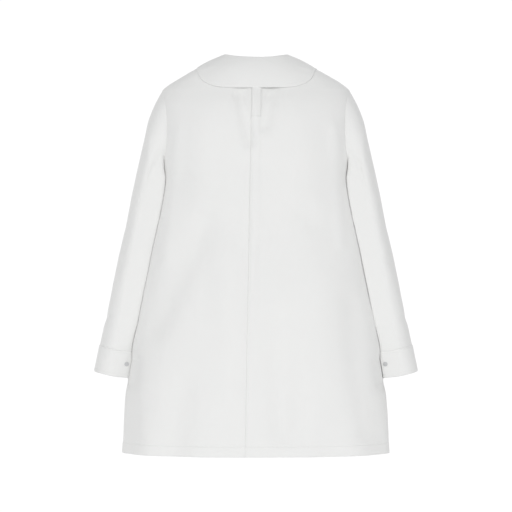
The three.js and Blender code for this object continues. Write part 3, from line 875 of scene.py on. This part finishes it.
# Buckles across the arm: depth in mm, place along it, slant towards the back, slant towards the side,
# width and where they show. Drag lines down the arm: depth in mm, phase, its drift, width.
armFolds = {
    "across": (
        (2.6, 0.30, 0.10, 0, 0.055, "inside"),
        (2.4, 0.50, -0.05, 0, 0.028, "inside"),
        (1.8, 0.58, 0, 0.04, 0.022, "behind"),
        (1.6, 0.81, -0.02, 0, 0.018, "allRound"),
    ),
    "down": ((2.0, 1.9, 0.6, 0.22), (1.6, 4.6, -0.5, 0.26)),
}


def sleeveFolds(phase, s):
    side, back = np.cos(phase), np.sin(phase)
    shown = {"inside": ease((0.2 - side) / 0.9), "behind": ease(back), "allRound": 1}
    lift = 0
    for depth, at, toBack, toSide, width, where in armFolds["across"]:
        lift = lift - depth * mm * ridge(s, at + toBack * back + toSide * side, width) * shown[where]
    middle = ease((s - 0.12) / 0.2) * ease((0.85 - s) / 0.2)
    for depth, at, drift, width in armFolds["down"]:
        lift = lift - depth * mm * ridge(phase, at + drift * s, width) * middle
    return lift * ease(s / 0.08)


def sleevePoint(phase, s, inset):
    phase, s = np.broadcast_arrays(phase, s)
    outerH = mix(shoulder, cuffOuter, s)
    turn, slow = sleeve["turn"], sleeve["slow"]
    innerShare = np.where(s < turn, slow * s / turn, slow + (1 - slow) * (s - turn) / (1 - turn))
    innerH = mix(underarm, cuffInner, innerShare)
    gap = sleeve["gap"] * ease(s / 0.1)
    outer = np.stack([sleeveEdge(outerH), outerH], -1)
    inner = np.stack([halfWidth(innerH) + gap, innerH], -1)
    middle, reach = (outer + inner) / 2, (outer - inner) / 2
    half = np.linalg.norm(reach, axis=-1)
    side, back = np.cos(phase), np.sin(phase)
    place = middle + reach * (side * (half - inset) / half)[..., None]
    depth = back * (armDepth(s) - inset) - sleeve["forward"] * ease(s)
    ring = np.stack([place[..., 0], depth, place[..., 1]], -1)
    # the inside of the arm rests against the body and wraps round its side
    beside = np.minimum(np.abs(depth) / halfDepth(place[..., 1]), 1) ** (coat["squareness"] / 2)
    wrapped = drapeAlong(np.arcsin(beside) * np.sign(depth), place[..., 1], sleeve["contact"] + inset)
    ring = mix(ring, wrapped, pressure(side, s)[..., None])
    # at the armhole it starts tucked under the edge of the panels
    reachUp = coat["armholeDepth"] / 2 + sleeve["tuck"]
    holeH = (shoulder + underarm) / 2 + side * reachUp
    roundness = np.sqrt(np.maximum(1 - np.abs(side) ** coat["armholeRoundness"], 0))
    holeY = (coat["armholeHalfDepth"] + sleeve["tuck"]) * roundness
    share = np.minimum(holeY / halfDepth(holeH), 1)
    holeAngle = np.arcsin(share ** (coat["squareness"] / 2)) * np.sign(back)
    hole = drapeAlong(holeAngle, holeH, -coat["cloth"] - 0.2 * mm - inset)
    weight = ease(s / mix(turn, sleeve["outerTurn"], (1 + side) / 2))
    return mix(hole, ring, weight[..., None])


def sleeveGrid(phases, shares, inset):
    phase, s = np.meshgrid(phases, shares)
    point = sleevePoint(phase, s, 0)
    step, stepDown = 0.01, 0.004
    around = sleevePoint(phase + step, s, 0) - sleevePoint(phase - step, s, 0)
    below = sleevePoint(phase, np.minimum(s + stepDown, 1), 0)
    down = below - sleevePoint(phase, np.maximum(s - stepDown, 0), 0)
    normal = unit(np.cross(down, around))
    lift = (sleeveFolds(phase, s) + creases(point) * ease(s / 0.05)) * (1 - pressure(np.cos(phase), s))
    start = ease(s / 0.03)[..., None]
    outer = point + normal * lift[..., None]
    inner = mix(sleevePoint(phase, s, inset), point + normal * (lift - inset)[..., None], start)
    return outer, inner


def makeSleeve(side, mirror):
    body = f"{side}_sleeve"
    flip = np.array([mirror, 1, 1])
    phases = np.linspace(0, 2 * np.pi, sleeve["around"] + 1)[:-1]
    capRows, capEnd = sleeve["capRows"]
    armShares = np.linspace(capEnd, cuffSeam - 0.0005, sleeve["armRows"])
    shares = np.concatenate([np.linspace(0, capEnd, capRows)[:-1], armShares])
    outer, inner = sleeveGrid(phases, shares, sleeve["cloth"])
    name = side.capitalize()
    halves = (f"sleeve_{side}_upper", f"sleeve_{side}_under")
    arm = clothSheet(f"sleeve{name}", halves, outer * flip, inner * flip, wraps=True)
    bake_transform(arm)
    declareSheet(arm)

    cuffShares = np.linspace(cuffSeam, 1, sleeve["cuffRows"])
    fromEdge = (1 - cuffShares) * sleeveRun
    fromSeam = (cuffShares - cuffSeam) * sleeveRun
    stitched = 0.35 * mm * ridge(fromEdge, 6 * mm, 1.2 * mm)
    swell = sleeve["cuffSwell"] + 0.5 * mm * ease(fromSeam / (3 * mm)) - stitched
    outer, _ = sleeveGrid(phases, cuffShares, sleeve["cloth"])
    middle = outer.mean(axis=1, keepdims=True)
    out = unit(outer - middle)
    cuffOuterGrid = outer + out * swell[:, None, None]
    cuffInnerGrid = outer - out * sleeve["cuffCloth"]
    cuff = clothSheet(f"cuff{name}", f"cuff_{side}", cuffOuterGrid * flip, cuffInnerGrid * flip, wraps=True)
    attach(cuff, body)
    declareSheet(cuff)

    edge = (cuffOuterGrid + out * 0.1 * mm) * flip
    loop = np.append(np.arange(len(phases)), 0)
    for fromTop in sleeve["cuffStitches"]:
        addSeam(body, edge[np.argmin(np.abs(fromSeam - fromTop)), loop], ride=body)
    k = int(round(sleeve["studTurn"] * len(phases)))
    j = np.argmin(np.abs(fromEdge - sleeve["studRise"]))
    axis = unit(np.cross(edge[j + 1, k] - edge[j - 1, k], edge[j, k + 1] - edge[j, k - 1]))
    cuffSeats[side] = (edge[j, k], axis * np.sign(axis[1]))


makeSleeve("left", 1)
makeSleeve("right", -1)
print("sleeves made")

collar = {
    "rollHalfWidth": 69 * mm,
    "rollHalfDepth": 54 * mm,
    "rollSide": 19 * mm,
    "rollBack": 10 * mm,
    "sideDrop": 11 * mm,
    "backDrop": 58 * mm,
    "squareness": 5,
    "crowding": 0.75,
    "thickness": 1.5 * mm,
    "lift": 0.6 * mm,
    "sideRoundness": 2 * mm,
    "backRoundness": 7 * mm,
    "pointX": 112 * mm,
    "pointDrop": 48 * mm,
    "pointCurve": 1.4,
    "pointRun": 1.6,
    "notchShare": 0.8,
    "notchClearance": 4.4 * mm,
    "upward": 0.8,
    "puffCurve": 0.8,
    "frontClear": 1.6,
    "frontClearRun": 4,
    "stitchIn": 6 * mm,
    "stand": 1.6 * mm,
    "standReach": 0.56,
    "standClearance": 1.2 * mm,
    "standInset": 0.4 * mm,
}


def neckAngle(reach):
    return math.pi / 2 - math.pi * reach


def rollLine(q):
    reach = np.abs(q)
    angle = neckAngle(np.minimum(reach, 0.5))
    power = 2 / coat["squareness"]
    sine = np.maximum(np.sin(angle), 0)
    back = np.stack([
        collar["rollHalfWidth"] * np.maximum(np.cos(angle), 0) ** power,
        collar["rollHalfDepth"] * sine ** power,
        neckHeight + mix(collar["rollSide"], collar["rollBack"], sine * sine),
    ], -1)
    notchH = np.full_like(reach, neckHeight - collar["notchShare"] * front["lapelDrop"])
    notchAngle = angleAt(openingX(notchH), notchH, -1)
    notchLift = collar["lift"] + collar["notchClearance"]
    notch = bodyPoint(notchAngle, notchH) + bodyNormal(notchAngle, notchH) * notchLift
    point = mix(back, notch, ease(2 * reach - 1)[..., None])
    point[..., 0] *= np.where(q < 0, -1, 1)
    return point


def collarEdge(q):
    reach = np.abs(q)
    ahead = np.maximum(2 * reach - 1, 0)
    share = np.maximum(np.cos(neckAngle(np.minimum(reach, 0.5))), 0) ** (2 / coat["squareness"])
    behind = np.sqrt(1 - share ** collar["squareness"])
    sideH = neckHeight - collar["sideDrop"]
    h = sideH - (collar["backDrop"] - collar["sideDrop"]) * behind
    h = h - collar["pointDrop"] * ahead ** collar["pointCurve"]
    frontX = mix(halfWidth(h) - 0.01 * mm, collar["pointX"], ease(ahead * collar["pointRun"]))
    angle = np.where(ahead > 0, angleAt(frontX, h, -1), angleAt(halfWidth(sideH) * share, h, 1))
    point = bodyPoint(angle, h) + bodyNormal(angle, h) * (collar["lift"] + collar["thickness"])
    point[..., 0] *= np.where(q < 0, -1, 1)
    return point


def shoulderHeight(x, y):
    low = np.full_like(x, shoulder - coat["armholeDepth"] / 2)
    high = np.full_like(x, neckHeight)
    for _ in range(30):
        h = (low + high) / 2
        across = (np.abs(x) / halfWidth(h)) ** coat["squareness"]
        outside = across + (np.abs(y) / halfDepth(h)) ** coat["squareness"] > 1
        high = np.where(outside, h, high)
        low = np.where(outside, low, h)
    return low


def collarPoint(q, v):
    q, v = np.broadcast_arrays(q, v)
    roll, edge = rollLine(q), collarEdge(q)
    away = roll * np.array([1, 1, 0])
    away = unit(unit(away) + np.array([0, 0, collar["upward"]]))
    behind = np.maximum(np.sin(neckAngle(np.minimum(np.abs(q), 0.5))), 0)
    puff = mix(collar["sideRoundness"], collar["backRoundness"], behind)
    puff = puff * np.sin(np.pi * v) ** collar["puffCurve"]
    point = mix(roll, edge, v[..., None]) + away * puff[..., None]
    ahead = np.maximum(2 * np.abs(q) - 1, 0)
    clear = (collar["lift"] + collar["thickness"]) * (
        1 + collar["frontClear"] * ease(ahead * collar["frontClearRun"]))
    point[..., 2] = np.maximum(point[..., 2], shoulderHeight(point[..., 0], point[..., 1]) + clear)
    return point


def makeCollar():
    s = np.linspace(-1, 1, 241)
    q = (s + collar["crowding"] * np.sin(2 * np.pi * s) / (2 * np.pi))[None, :]
    v = np.linspace(0, 1, 40)[:, None]
    point = collarPoint(q, v)
    along = collarPoint(np.clip(q + 0.01, -1, 1), v) - collarPoint(np.clip(q - 0.01, -1, 1), v)
    down = collarPoint(q, np.clip(v + 0.02, 0, 1)) - collarPoint(q, np.clip(v - 0.02, 0, 1))
    normal = unit(np.cross(along, down))
    normal = normal * np.where(normal[..., 2:3] < 0, -1, 1)
    width = np.linalg.norm(rollLine(q) - collarEdge(q), axis=-1)
    fromEdge = (1 - v) * width
    swell = 0.35 * mm * ease(fromEdge / (2 * mm)) - 0.4 * mm * ridge(fromEdge, collar["stitchIn"], 1.4 * mm)
    swell = swell + creases(point) * 0.8
    outer = point + normal * swell[..., None]
    inner = point - normal * collar["thickness"]
    fall = clothSheet("collarFall", "collar_fall", outer, inner)
    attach(fall, "torso")
    declareSheet(fall)
    row = np.argmin(np.abs(fromEdge - collar["stitchIn"]), axis=0)
    addSeam("torso", (outer + normal * 0.1 * mm)[row, np.arange(len(row))], ride="torso")

    q = np.linspace(-collar["standReach"], collar["standReach"], 121)
    foot = bodyPoint(np.where(q < 0, math.pi - neckAngle(-q), neckAngle(q)), np.full_like(q, neckHeight))
    foot = foot + np.array([0, 0, collar["standInset"]])
    top = rollLine(q) - np.array([0, 0, collar["thickness"] + collar["standClearance"]])
    share = np.linspace(0, 1, 9)[:, None, None]
    point = mix(foot[None], top[None], share)
    inward = unit(-point * np.array([1, 1, 0]))
    point = point + inward * collar["standInset"]
    stand = clothSheet("collarStand", "collar_stand", point, point + inward * collar["stand"])
    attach(stand, "torso")
    declareSheet(stand)


makeCollar()
print("collar made")

chestPocket = {"inner": 52 * mm, "width": 100 * mm, "bottom": 490 * mm, "height": 120 * mm}
lowerPocket = {"inner": 55 * mm, "width": 135 * mm, "bottom": 140 * mm, "height": 180 * mm}
pockets = {
    "chest_pocket": {"side": "left", **chestPocket},
    "lower_pocket_left": {"side": "left", **lowerPocket},
    "lower_pocket_right": {"side": "right", **lowerPocket},
}
pocket = {
    "depth": 8.5 * mm,
    "ease": 34 * mm,
    "lift": 1.5 * mm,
    "cloth": 1.3 * mm,
    "band": 24 * mm,
    "stitchIn": 5 * mm,
    "topIn": 1 * mm,
}


def pocketPoint(spec, u, v, lift):
    mirror = 1 if spec["side"] == "left" else -1
    h = spec["bottom"] + spec["height"] * v
    x = mirror * (spec["inner"] + spec["width"] * u)
    angle = angleAt(x, h, -1)
    fromSide = np.minimum(u, 1 - u) * spec["width"]
    bulge = pocket["depth"] * ease(fromSide / pocket["ease"]) * ease(v * spec["height"] / pocket["ease"])
    layer = lapLift(x, h) if mirror > 0 else 0
    away = drape(angle, h) + layer + pocket["lift"] + bulge + lift
    return bodyPoint(angle, h) + bodyNormal(angle, h) * away[..., None]


def makePockets():
    for node, spec in pockets.items():
        u = np.linspace(0, 1, 56)[None, :]
        v = np.linspace(0, 1, 64)[:, None]
        u, v = np.broadcast_arrays(u, v)
        fromTop = (1 - v) * spec["height"]
        fromSide = np.minimum(np.minimum(u, 1 - u) * spec["width"], v * spec["height"])
        band, inset = pocket["band"], pocket["stitchIn"]
        trim = 0.5 * mm * ease((band - fromTop) / (1.5 * mm)) - 0.4 * mm * ridge(fromTop, band, 1.2 * mm)
        trim = trim - 0.35 * mm * ridge(fromSide, inset, 1.2 * mm)
        name = "".join(word.capitalize() for word in node.split("_"))
        name = name[0].lower() + name[1:]
        outer, inner = pocketPoint(spec, u, v, trim), pocketPoint(spec, u, v, -pocket["cloth"])
        patch = clothSheet(name, node, outer, inner)
        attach(patch, f"{spec['side']}_front")
        left, right = inset / spec["width"], 1 - inset / spec["width"]
        foot, top = inset / spec["height"], 1 - pocket["topIn"] / spec["height"]
        bandAt = 1 - band / spec["height"]
        path = [(left, top), (left, foot), (right, foot), (right, top)]
        for (u0, v0), (u1, v1) in list(zip(path, path[1:])) + [((left, bandAt), (right, bandAt))]:
            share = np.linspace(0, 1, 60)
            line = pocketPoint(spec, mix(u0, u1, share), mix(v0, v1, share), 0.1 * mm)
            addSeam(f"{spec['side']}Pockets", line, ride=f"{spec['side']}_front")
        declareSheet(patch)


makePockets()
print("pockets made")


neck = {
    "inset": 5.2 * mm,
    "facingEnd": 0.5,
    "facingDepth": 46 * mm,
    "facingDrop": 1 * mm,
    "facingCloth": 0.9 * mm,
    "labelWidth": 52 * mm,
    "labelHeight": 20 * mm,
    "labelDrop": 18 * mm,
    "labelInset": 1.3 * mm,
    "labelCloth": 0.5 * mm,
}


def makeNeckDetails():
    # a level strip keeps one angle or one x at every height
    def level(value):
        return lambda h: value + 0 * h

    def acrossBack(x):
        return lambda h: angleAt(x + 0 * h, h, 1)

    facing = clothSheet("backNeckFacing", "back_neck_facing", *bodyGrid(
        level(neck["facingEnd"]), level(math.pi - neck["facingEnd"]),
        spread(neckHeight - neck["facingDepth"], neckHeight - neck["facingDrop"], 3 * mm), 90,
        lambda x, h: noLift(x, h) - neck["inset"], neck["facingCloth"]), material=facingCloth)
    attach(facing, "torso")
    declareSheet(facing)
    labelHigh = neckHeight - neck["labelDrop"]
    label = clothSheet("neckLabel", "neck_label", *bodyGrid(
        acrossBack(neck["labelWidth"] / 2), acrossBack(-neck["labelWidth"] / 2),
        spread(labelHigh - neck["labelHeight"], labelHigh, 1 * mm), 40,
        lambda x, h: noLift(x, h) - neck["inset"] - neck["labelInset"], neck["labelCloth"]),
        material=tapeCloth)
    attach(label, "torso")
    declareSheet(label)


makeNeckDetails()

hanger = {
    "halfWidth": 1.6 * mm,
    "halfThickness": 0.55 * mm,
    "endIn": 0.6 * mm,
    "backIn": 1.6 * mm,
    "footUp": 2 * mm,
    "archCurve": 0.8,
    "riseCurve": 0.7,
    "tilt": (0, 0.25, 1.0),
    "bevel": 0.6,
    "steps": 60,
    "declaredWidth": 10 * mm,
    "tapeGirth": 3.4 * mm,
    "mapStep": 0.7 * mm,
}


def makeHangerLoop():
    # a flat woven tape, stitched at both ends, arched between them
    low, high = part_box("hanger_loop")
    count = hanger["steps"]
    share = np.linspace(-1, 1, count)
    arch = np.cos(share * math.pi / 2)
    x = share * ((high.x - low.x) / 2 - hanger["endIn"])
    y = mix(high.y - hanger["backIn"], 0, arch ** hanger["archCurve"])
    z = mix(low.z + hanger["footUp"], 0, arch ** hanger["riseCurve"])
    path = np.stack([x, y, z], -1)
    tangent = unit(np.gradient(path, axis=0))
    side = unit(np.cross(tangent, np.array(hanger["tilt"])))
    width = unit(np.cross(side, tangent))
    bevel = hanger["bevel"]
    profile = ((-1, -bevel), (-bevel, -1), (bevel, -1), (1, -bevel),
               (1, bevel), (bevel, 1), (-bevel, 1), (-1, bevel))
    ring = np.stack([path + width * hanger["halfWidth"] * a + side * hanger["halfThickness"] * b
                     for a, b in profile], 1)
    sides = len(profile)
    faces = []
    for k in range(count - 1):
        for i in range(sides):
            a, b = k * sides + i, k * sides + (i + 1) % sides
            faces.append((a, b, b + sides, a + sides))
    faces.append(tuple(reversed(range(sides))))
    faces.append(tuple(range((count - 1) * sides, count * sides)))
    length = np.concatenate([[0], np.cumsum(np.linalg.norm(np.diff(path, axis=0), axis=1))])
    uv = np.stack([np.tile(np.arange(sides) * hanger["mapStep"], count), np.repeat(length, sides)], -1)
    loop = addObject("hangerLoop", ring.reshape(-1, 3), faces, tapeCloth, uv)
    turnOutwards(loop)
    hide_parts("hanger_loop")
    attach(loop, "torso")


makeHangerLoop()
print("neck details made")

# Press studs: (radius, height) pairs in mm along the axis, from the cloth outwards.
stud = {
    "count": 4,
    "sides": 40,
    "cap": ((0, -5.2), (3.1, -5.2), (3.2, -5.6), (5.2, -5.6), (5.6, -5.2), (5.6, -3.9),
            (1.8, -3.7), (1.8, 0.1), (6.6, 0.2), (7.2, 0.35), (7.4, 0.75), (7.2, 1.15),
            (6.5, 1.3), (6.1, 1.1), (5.6, 1.15), (3.6, 1.55), (0, 1.7)),
    "ball": ((0, -3.9), (5.2, -3.9), (5.6, -3.6), (5.6, -3.2), (1.8, -3.0), (1.8, 0.1),
             (4.8, 0.2), (5.0, 0.5), (4.8, 0.9), (2.2, 1.0), (1.8, 1.3), (2.0, 1.8),
             (1.9, 2.2), (1.2, 2.5), (0, 2.6)),
    "cuff": ((0, -1.6), (4.0, -1.6), (4.6, -0.6), (5.0, -0.3), (5.1, 0.1), (4.8, 0.5),
             (4.4, 0.55), (4.0, 0.4), (2.5, 0.8), (0, 0.95)),
}


def turnedPiece(name, profile, centre, axis, node, body):
    # a profile turned about the axis and closed on it
    turn = Vector((0, 0, 1)).rotation_difference(Vector(axis)).to_matrix()
    sides = stud["sides"]
    vertices, faces, rings = [], [], []
    for radius, height in profile:
        if radius == 0:
            rings.append([len(vertices)])
            vertices.append(Vector((0, 0, height * mm)))
            continue
        start = len(vertices)
        for k in range(sides):
            a = 2 * math.pi * k / sides
            vertices.append(Vector((radius * mm * math.cos(a), radius * mm * math.sin(a), height * mm)))
        rings.append(list(range(start, start + sides)))
    for below, above in zip(rings, rings[1:]):
        for k in range(sides):
            n = (k + 1) % sides
            if len(below) == 1:
                faces.append((below[0], above[k], above[n]))
            elif len(above) == 1:
                faces.append((below[n], below[k], above[0]))
            else:
                faces.append((below[k], below[n], above[n], above[k]))
    places = [turn @ v + Vector(centre) for v in vertices]
    piece = addObject(name, places, faces, snapMetal)
    turnOutwards(piece)
    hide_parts(node)
    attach(piece, body)


def makeStuds():
    angle = np.array(-math.pi / 2)
    for k in range(1, stud["count"] + 1):
        low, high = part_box(f"stud_cap_{k}")
        h = np.array((low.z + high.z) / 2 - hemZ)
        axis = bodyNormal(angle, h)
        outside = toFrame(bodyPoint(angle, h) + axis * (drape(angle, h) + lapLift(0, h)))
        turnedPiece(f"studCap{k}", stud["cap"], outside, axis, f"stud_cap_{k}", "left_front")
        under = toFrame(bodyPoint(angle, h) + axis * drape(angle, h))
        turnedPiece(f"studBall{k}", stud["ball"], under, axis, f"stud_ball_{k}", "right_front")
    for side in ("left", "right"):
        centre, axis = cuffSeats[side]
        turnedPiece(f"cuffStud{side.capitalize()}", stud["cuff"], toFrame(centre), axis,
                    f"cuff_stud_{side}", f"{side}_sleeve")


makeStuds()
print("studs made")

thread = {
    "pitch": 3.1 * mm,
    "length": 2.3 * mm,
    "width": 0.42 * mm,
    "least": 0.9,
    "most": 1.05,
    "seed": 5,
}


def stitchNodes():
    # one thread-shaped bead for every stitch along the edges of a mesh
    group = bpy.data.node_groups.new("sewnStitches", "GeometryNodeTree")
    face = group.interface
    face.new_socket("Lines", in_out="INPUT", socket_type="NodeSocketGeometry")
    for name in ("Pitch", "Length", "Width"):
        face.new_socket(name, in_out="INPUT", socket_type="NodeSocketFloat")
    face.new_socket("Seed", in_out="INPUT", socket_type="NodeSocketInt")
    face.new_socket("Thread", in_out="INPUT", socket_type="NodeSocketMaterial")
    face.new_socket("Stitches", in_out="OUTPUT", socket_type="NodeSocketGeometry")

    def add(kind, settings=None, inputs=None):
        node = group.nodes.new(kind)
        for key, value in (settings or {}).items():
            setattr(node, key, value)
        for key, value in (inputs or {}).items():
            if isinstance(value, bpy.types.NodeSocket):
                group.links.new(value, node.inputs[key])
            else:
                node.inputs[key].default_value = value
        return node

    given = add("NodeGroupInput").outputs
    curve = add("GeometryNodeMeshToCurve", None, {"Mesh": given["Lines"]}).outputs[0]
    dots = add("GeometryNodeResampleCurve", {"mode": "LENGTH"},
               {"Curve": curve, "Length": given["Pitch"]}).outputs[0]
    bead = add("GeometryNodeMeshUVSphere", None, {"Segments": 6, "Rings": 4, "Radius": 0.5}).outputs[0]
    wander = add("FunctionNodeRandomValue", {"data_type": "FLOAT"},
                 {2: thread["least"], 3: thread["most"], "Seed": given["Seed"]}).outputs[1]
    length = add("ShaderNodeMath", {"operation": "MULTIPLY"}, {0: given["Length"], 1: wander}).outputs[0]
    size = add("ShaderNodeCombineXYZ", None, {0: given["Width"], 1: given["Width"], 2: length}).outputs[0]
    tangent = add("GeometryNodeInputTangent").outputs[0]
    turn = add("FunctionNodeAlignRotationToVector", {"axis": "Z"}, {"Vector": tangent}).outputs[0]
    beads = add("GeometryNodeInstanceOnPoints", None,
                {"Points": dots, "Instance": bead, "Rotation": turn, "Scale": size}).outputs[0]
    solid = add("GeometryNodeRealizeInstances", None, {0: beads}).outputs[0]
    painted = add("GeometryNodeSetMaterial", None,
                  {"Geometry": solid, "Material": given["Thread"]}).outputs[0]
    add("NodeGroupOutput", None, {0: painted})
    return group


def makeStitches():
    group = stitchNodes()
    sockets = {item.name: item.identifier for item in group.interface.items_tree if item.in_out == "INPUT"}
    for name, seam in seamSets.items():
        vertices, edges = [], []
        for line in seam["lines"]:
            first = len(vertices)
            vertices.extend(tuple(point) for point in line)
            edges.extend((first + k, first + k + 1) for k in range(len(line) - 1))
        mesh = bpy.data.meshes.new(name + "Lines")
        mesh.from_pydata(vertices, edges, [])
        lines = bpy.data.objects.new(name + "Lines", mesh)
        bpy.context.scene.collection.objects.link(lines)
        modifier = lines.modifiers.new("stitches", "NODES")
        modifier.node_group = group
        for socket in ("Pitch", "Length", "Width", "Seed"):
            modifier[sockets[socket]] = thread[socket.lower()]
        modifier[sockets["Thread"]] = threadCloth
        made = lines.evaluated_get(bpy.context.evaluated_depsgraph_get())
        beads = bpy.data.meshes.new_from_object(made)
        piece = bpy.data.objects.new(name + "Stitches", beads)
        bpy.context.scene.collection.objects.link(piece)
        bpy.data.objects.remove(lines)
        beads.polygons.foreach_set("use_smooth", [True] * len(beads.polygons))
        if seam["ride"]:
            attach(piece, seam["ride"])
        else:
            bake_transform(piece)
        print(name, "stitches", len(beads.polygons))


makeStitches()


room = {
    "floorRadius": 2.1,
    "floorSides": 64,
    "floorDrop": 0.5,
    "floorColor": (0.86, 0.86, 0.86, 1),
    "floorRoughness": 0.9,
    "floorGlow": 0.22,
    "seen": 1.05,
    "soft": 0.575,
    "softColor": (0.985, 0.99, 1, 1),
    "lights": (  # name, place, size, power
        ("keyBehind", (1.6, 4.2, 1.3), 2.6, 62),
        ("fillBehind", (-2.6, 3.4, 0.2), 2.4, 26),
        ("keyFront", (-1.6, -4.2, 1.3), 2.6, 62),
        ("fillFront", (2.6, -3.4, 0.2), 2.4, 26),
    ),
    "cameraAway": 5.0,
    "cameraRise": 0.4205,
    "frameWidth": 1.101,
    "sensor": 36,
    "clipEnd": 100,
}


def studio():
    scene = bpy.context.scene
    view = scene.view_settings
    view.view_transform = "Standard"
    view.look = "None"
    view.exposure = 0
    middle = (cadLow + cadHigh) / 2

    mesh = bpy.data.meshes.new("paleFloor")
    sides, radius = room["floorSides"], room["floorRadius"]
    turns = [2 * math.pi * k / sides for k in range(sides)]
    ring = [(radius * math.cos(a), seamY + radius * math.sin(a), hemZ - room["floorDrop"]) for a in turns]
    mesh.from_pydata(ring, [], [tuple(range(sides))])
    floor = bpy.data.objects.new("paleFloor", mesh)
    scene.collection.objects.link(floor)
    pale = Shader("paleFloor").set(Base_Color=room["floorColor"], Roughness=room["floorRoughness"],
                                   Emission_Color=(1, 1, 1, 1), Emission_Strength=room["floorGlow"])
    mesh.materials.append(pale.material)

    world = bpy.data.worlds.new("studioWhite")
    world.use_nodes = True
    tree = world.node_tree
    seen = tree.nodes.new("ShaderNodeBackground")
    seen.inputs[0].default_value = (1, 1, 1, 1)
    seen.inputs[1].default_value = room["seen"]
    soft = tree.nodes["Background"]
    soft.inputs[0].default_value = room["softColor"]
    soft.inputs[1].default_value = room["soft"]
    path = tree.nodes.new("ShaderNodeLightPath")
    choose = tree.nodes.new("ShaderNodeMixShader")
    tree.links.new(path.outputs["Is Camera Ray"], choose.inputs[0])
    tree.links.new(soft.outputs[0], choose.inputs[1])
    tree.links.new(seen.outputs[0], choose.inputs[2])
    tree.links.new(choose.outputs[0], tree.nodes["World Output"].inputs[0])
    scene.world = world

    for name, place, size, power in room["lights"]:
        data = bpy.data.lights.new(name, "AREA")
        data.shape = "DISK"
        data.size = size
        data.energy = power
        lamp = bpy.data.objects.new(name, data)
        lamp.location = place
        lamp.rotation_euler = (middle - Vector(place)).to_track_quat("-Z", "Y").to_euler()
        scene.collection.objects.link(lamp)

    data = bpy.data.cameras.new("camera")
    camera = bpy.data.objects.new("camera", data)
    scene.collection.objects.link(camera)
    data.sensor_width = room["sensor"]
    data.lens = room["sensor"] * room["cameraAway"] / room["frameWidth"]
    data.clip_end = room["clipEnd"]
    camera.location = (0, seamY + room["cameraAway"], hemZ + room["cameraRise"])
    camera.rotation_euler = (math.pi / 2, 0, math.pi)
    scene.camera = camera


studio()
print("studio set")
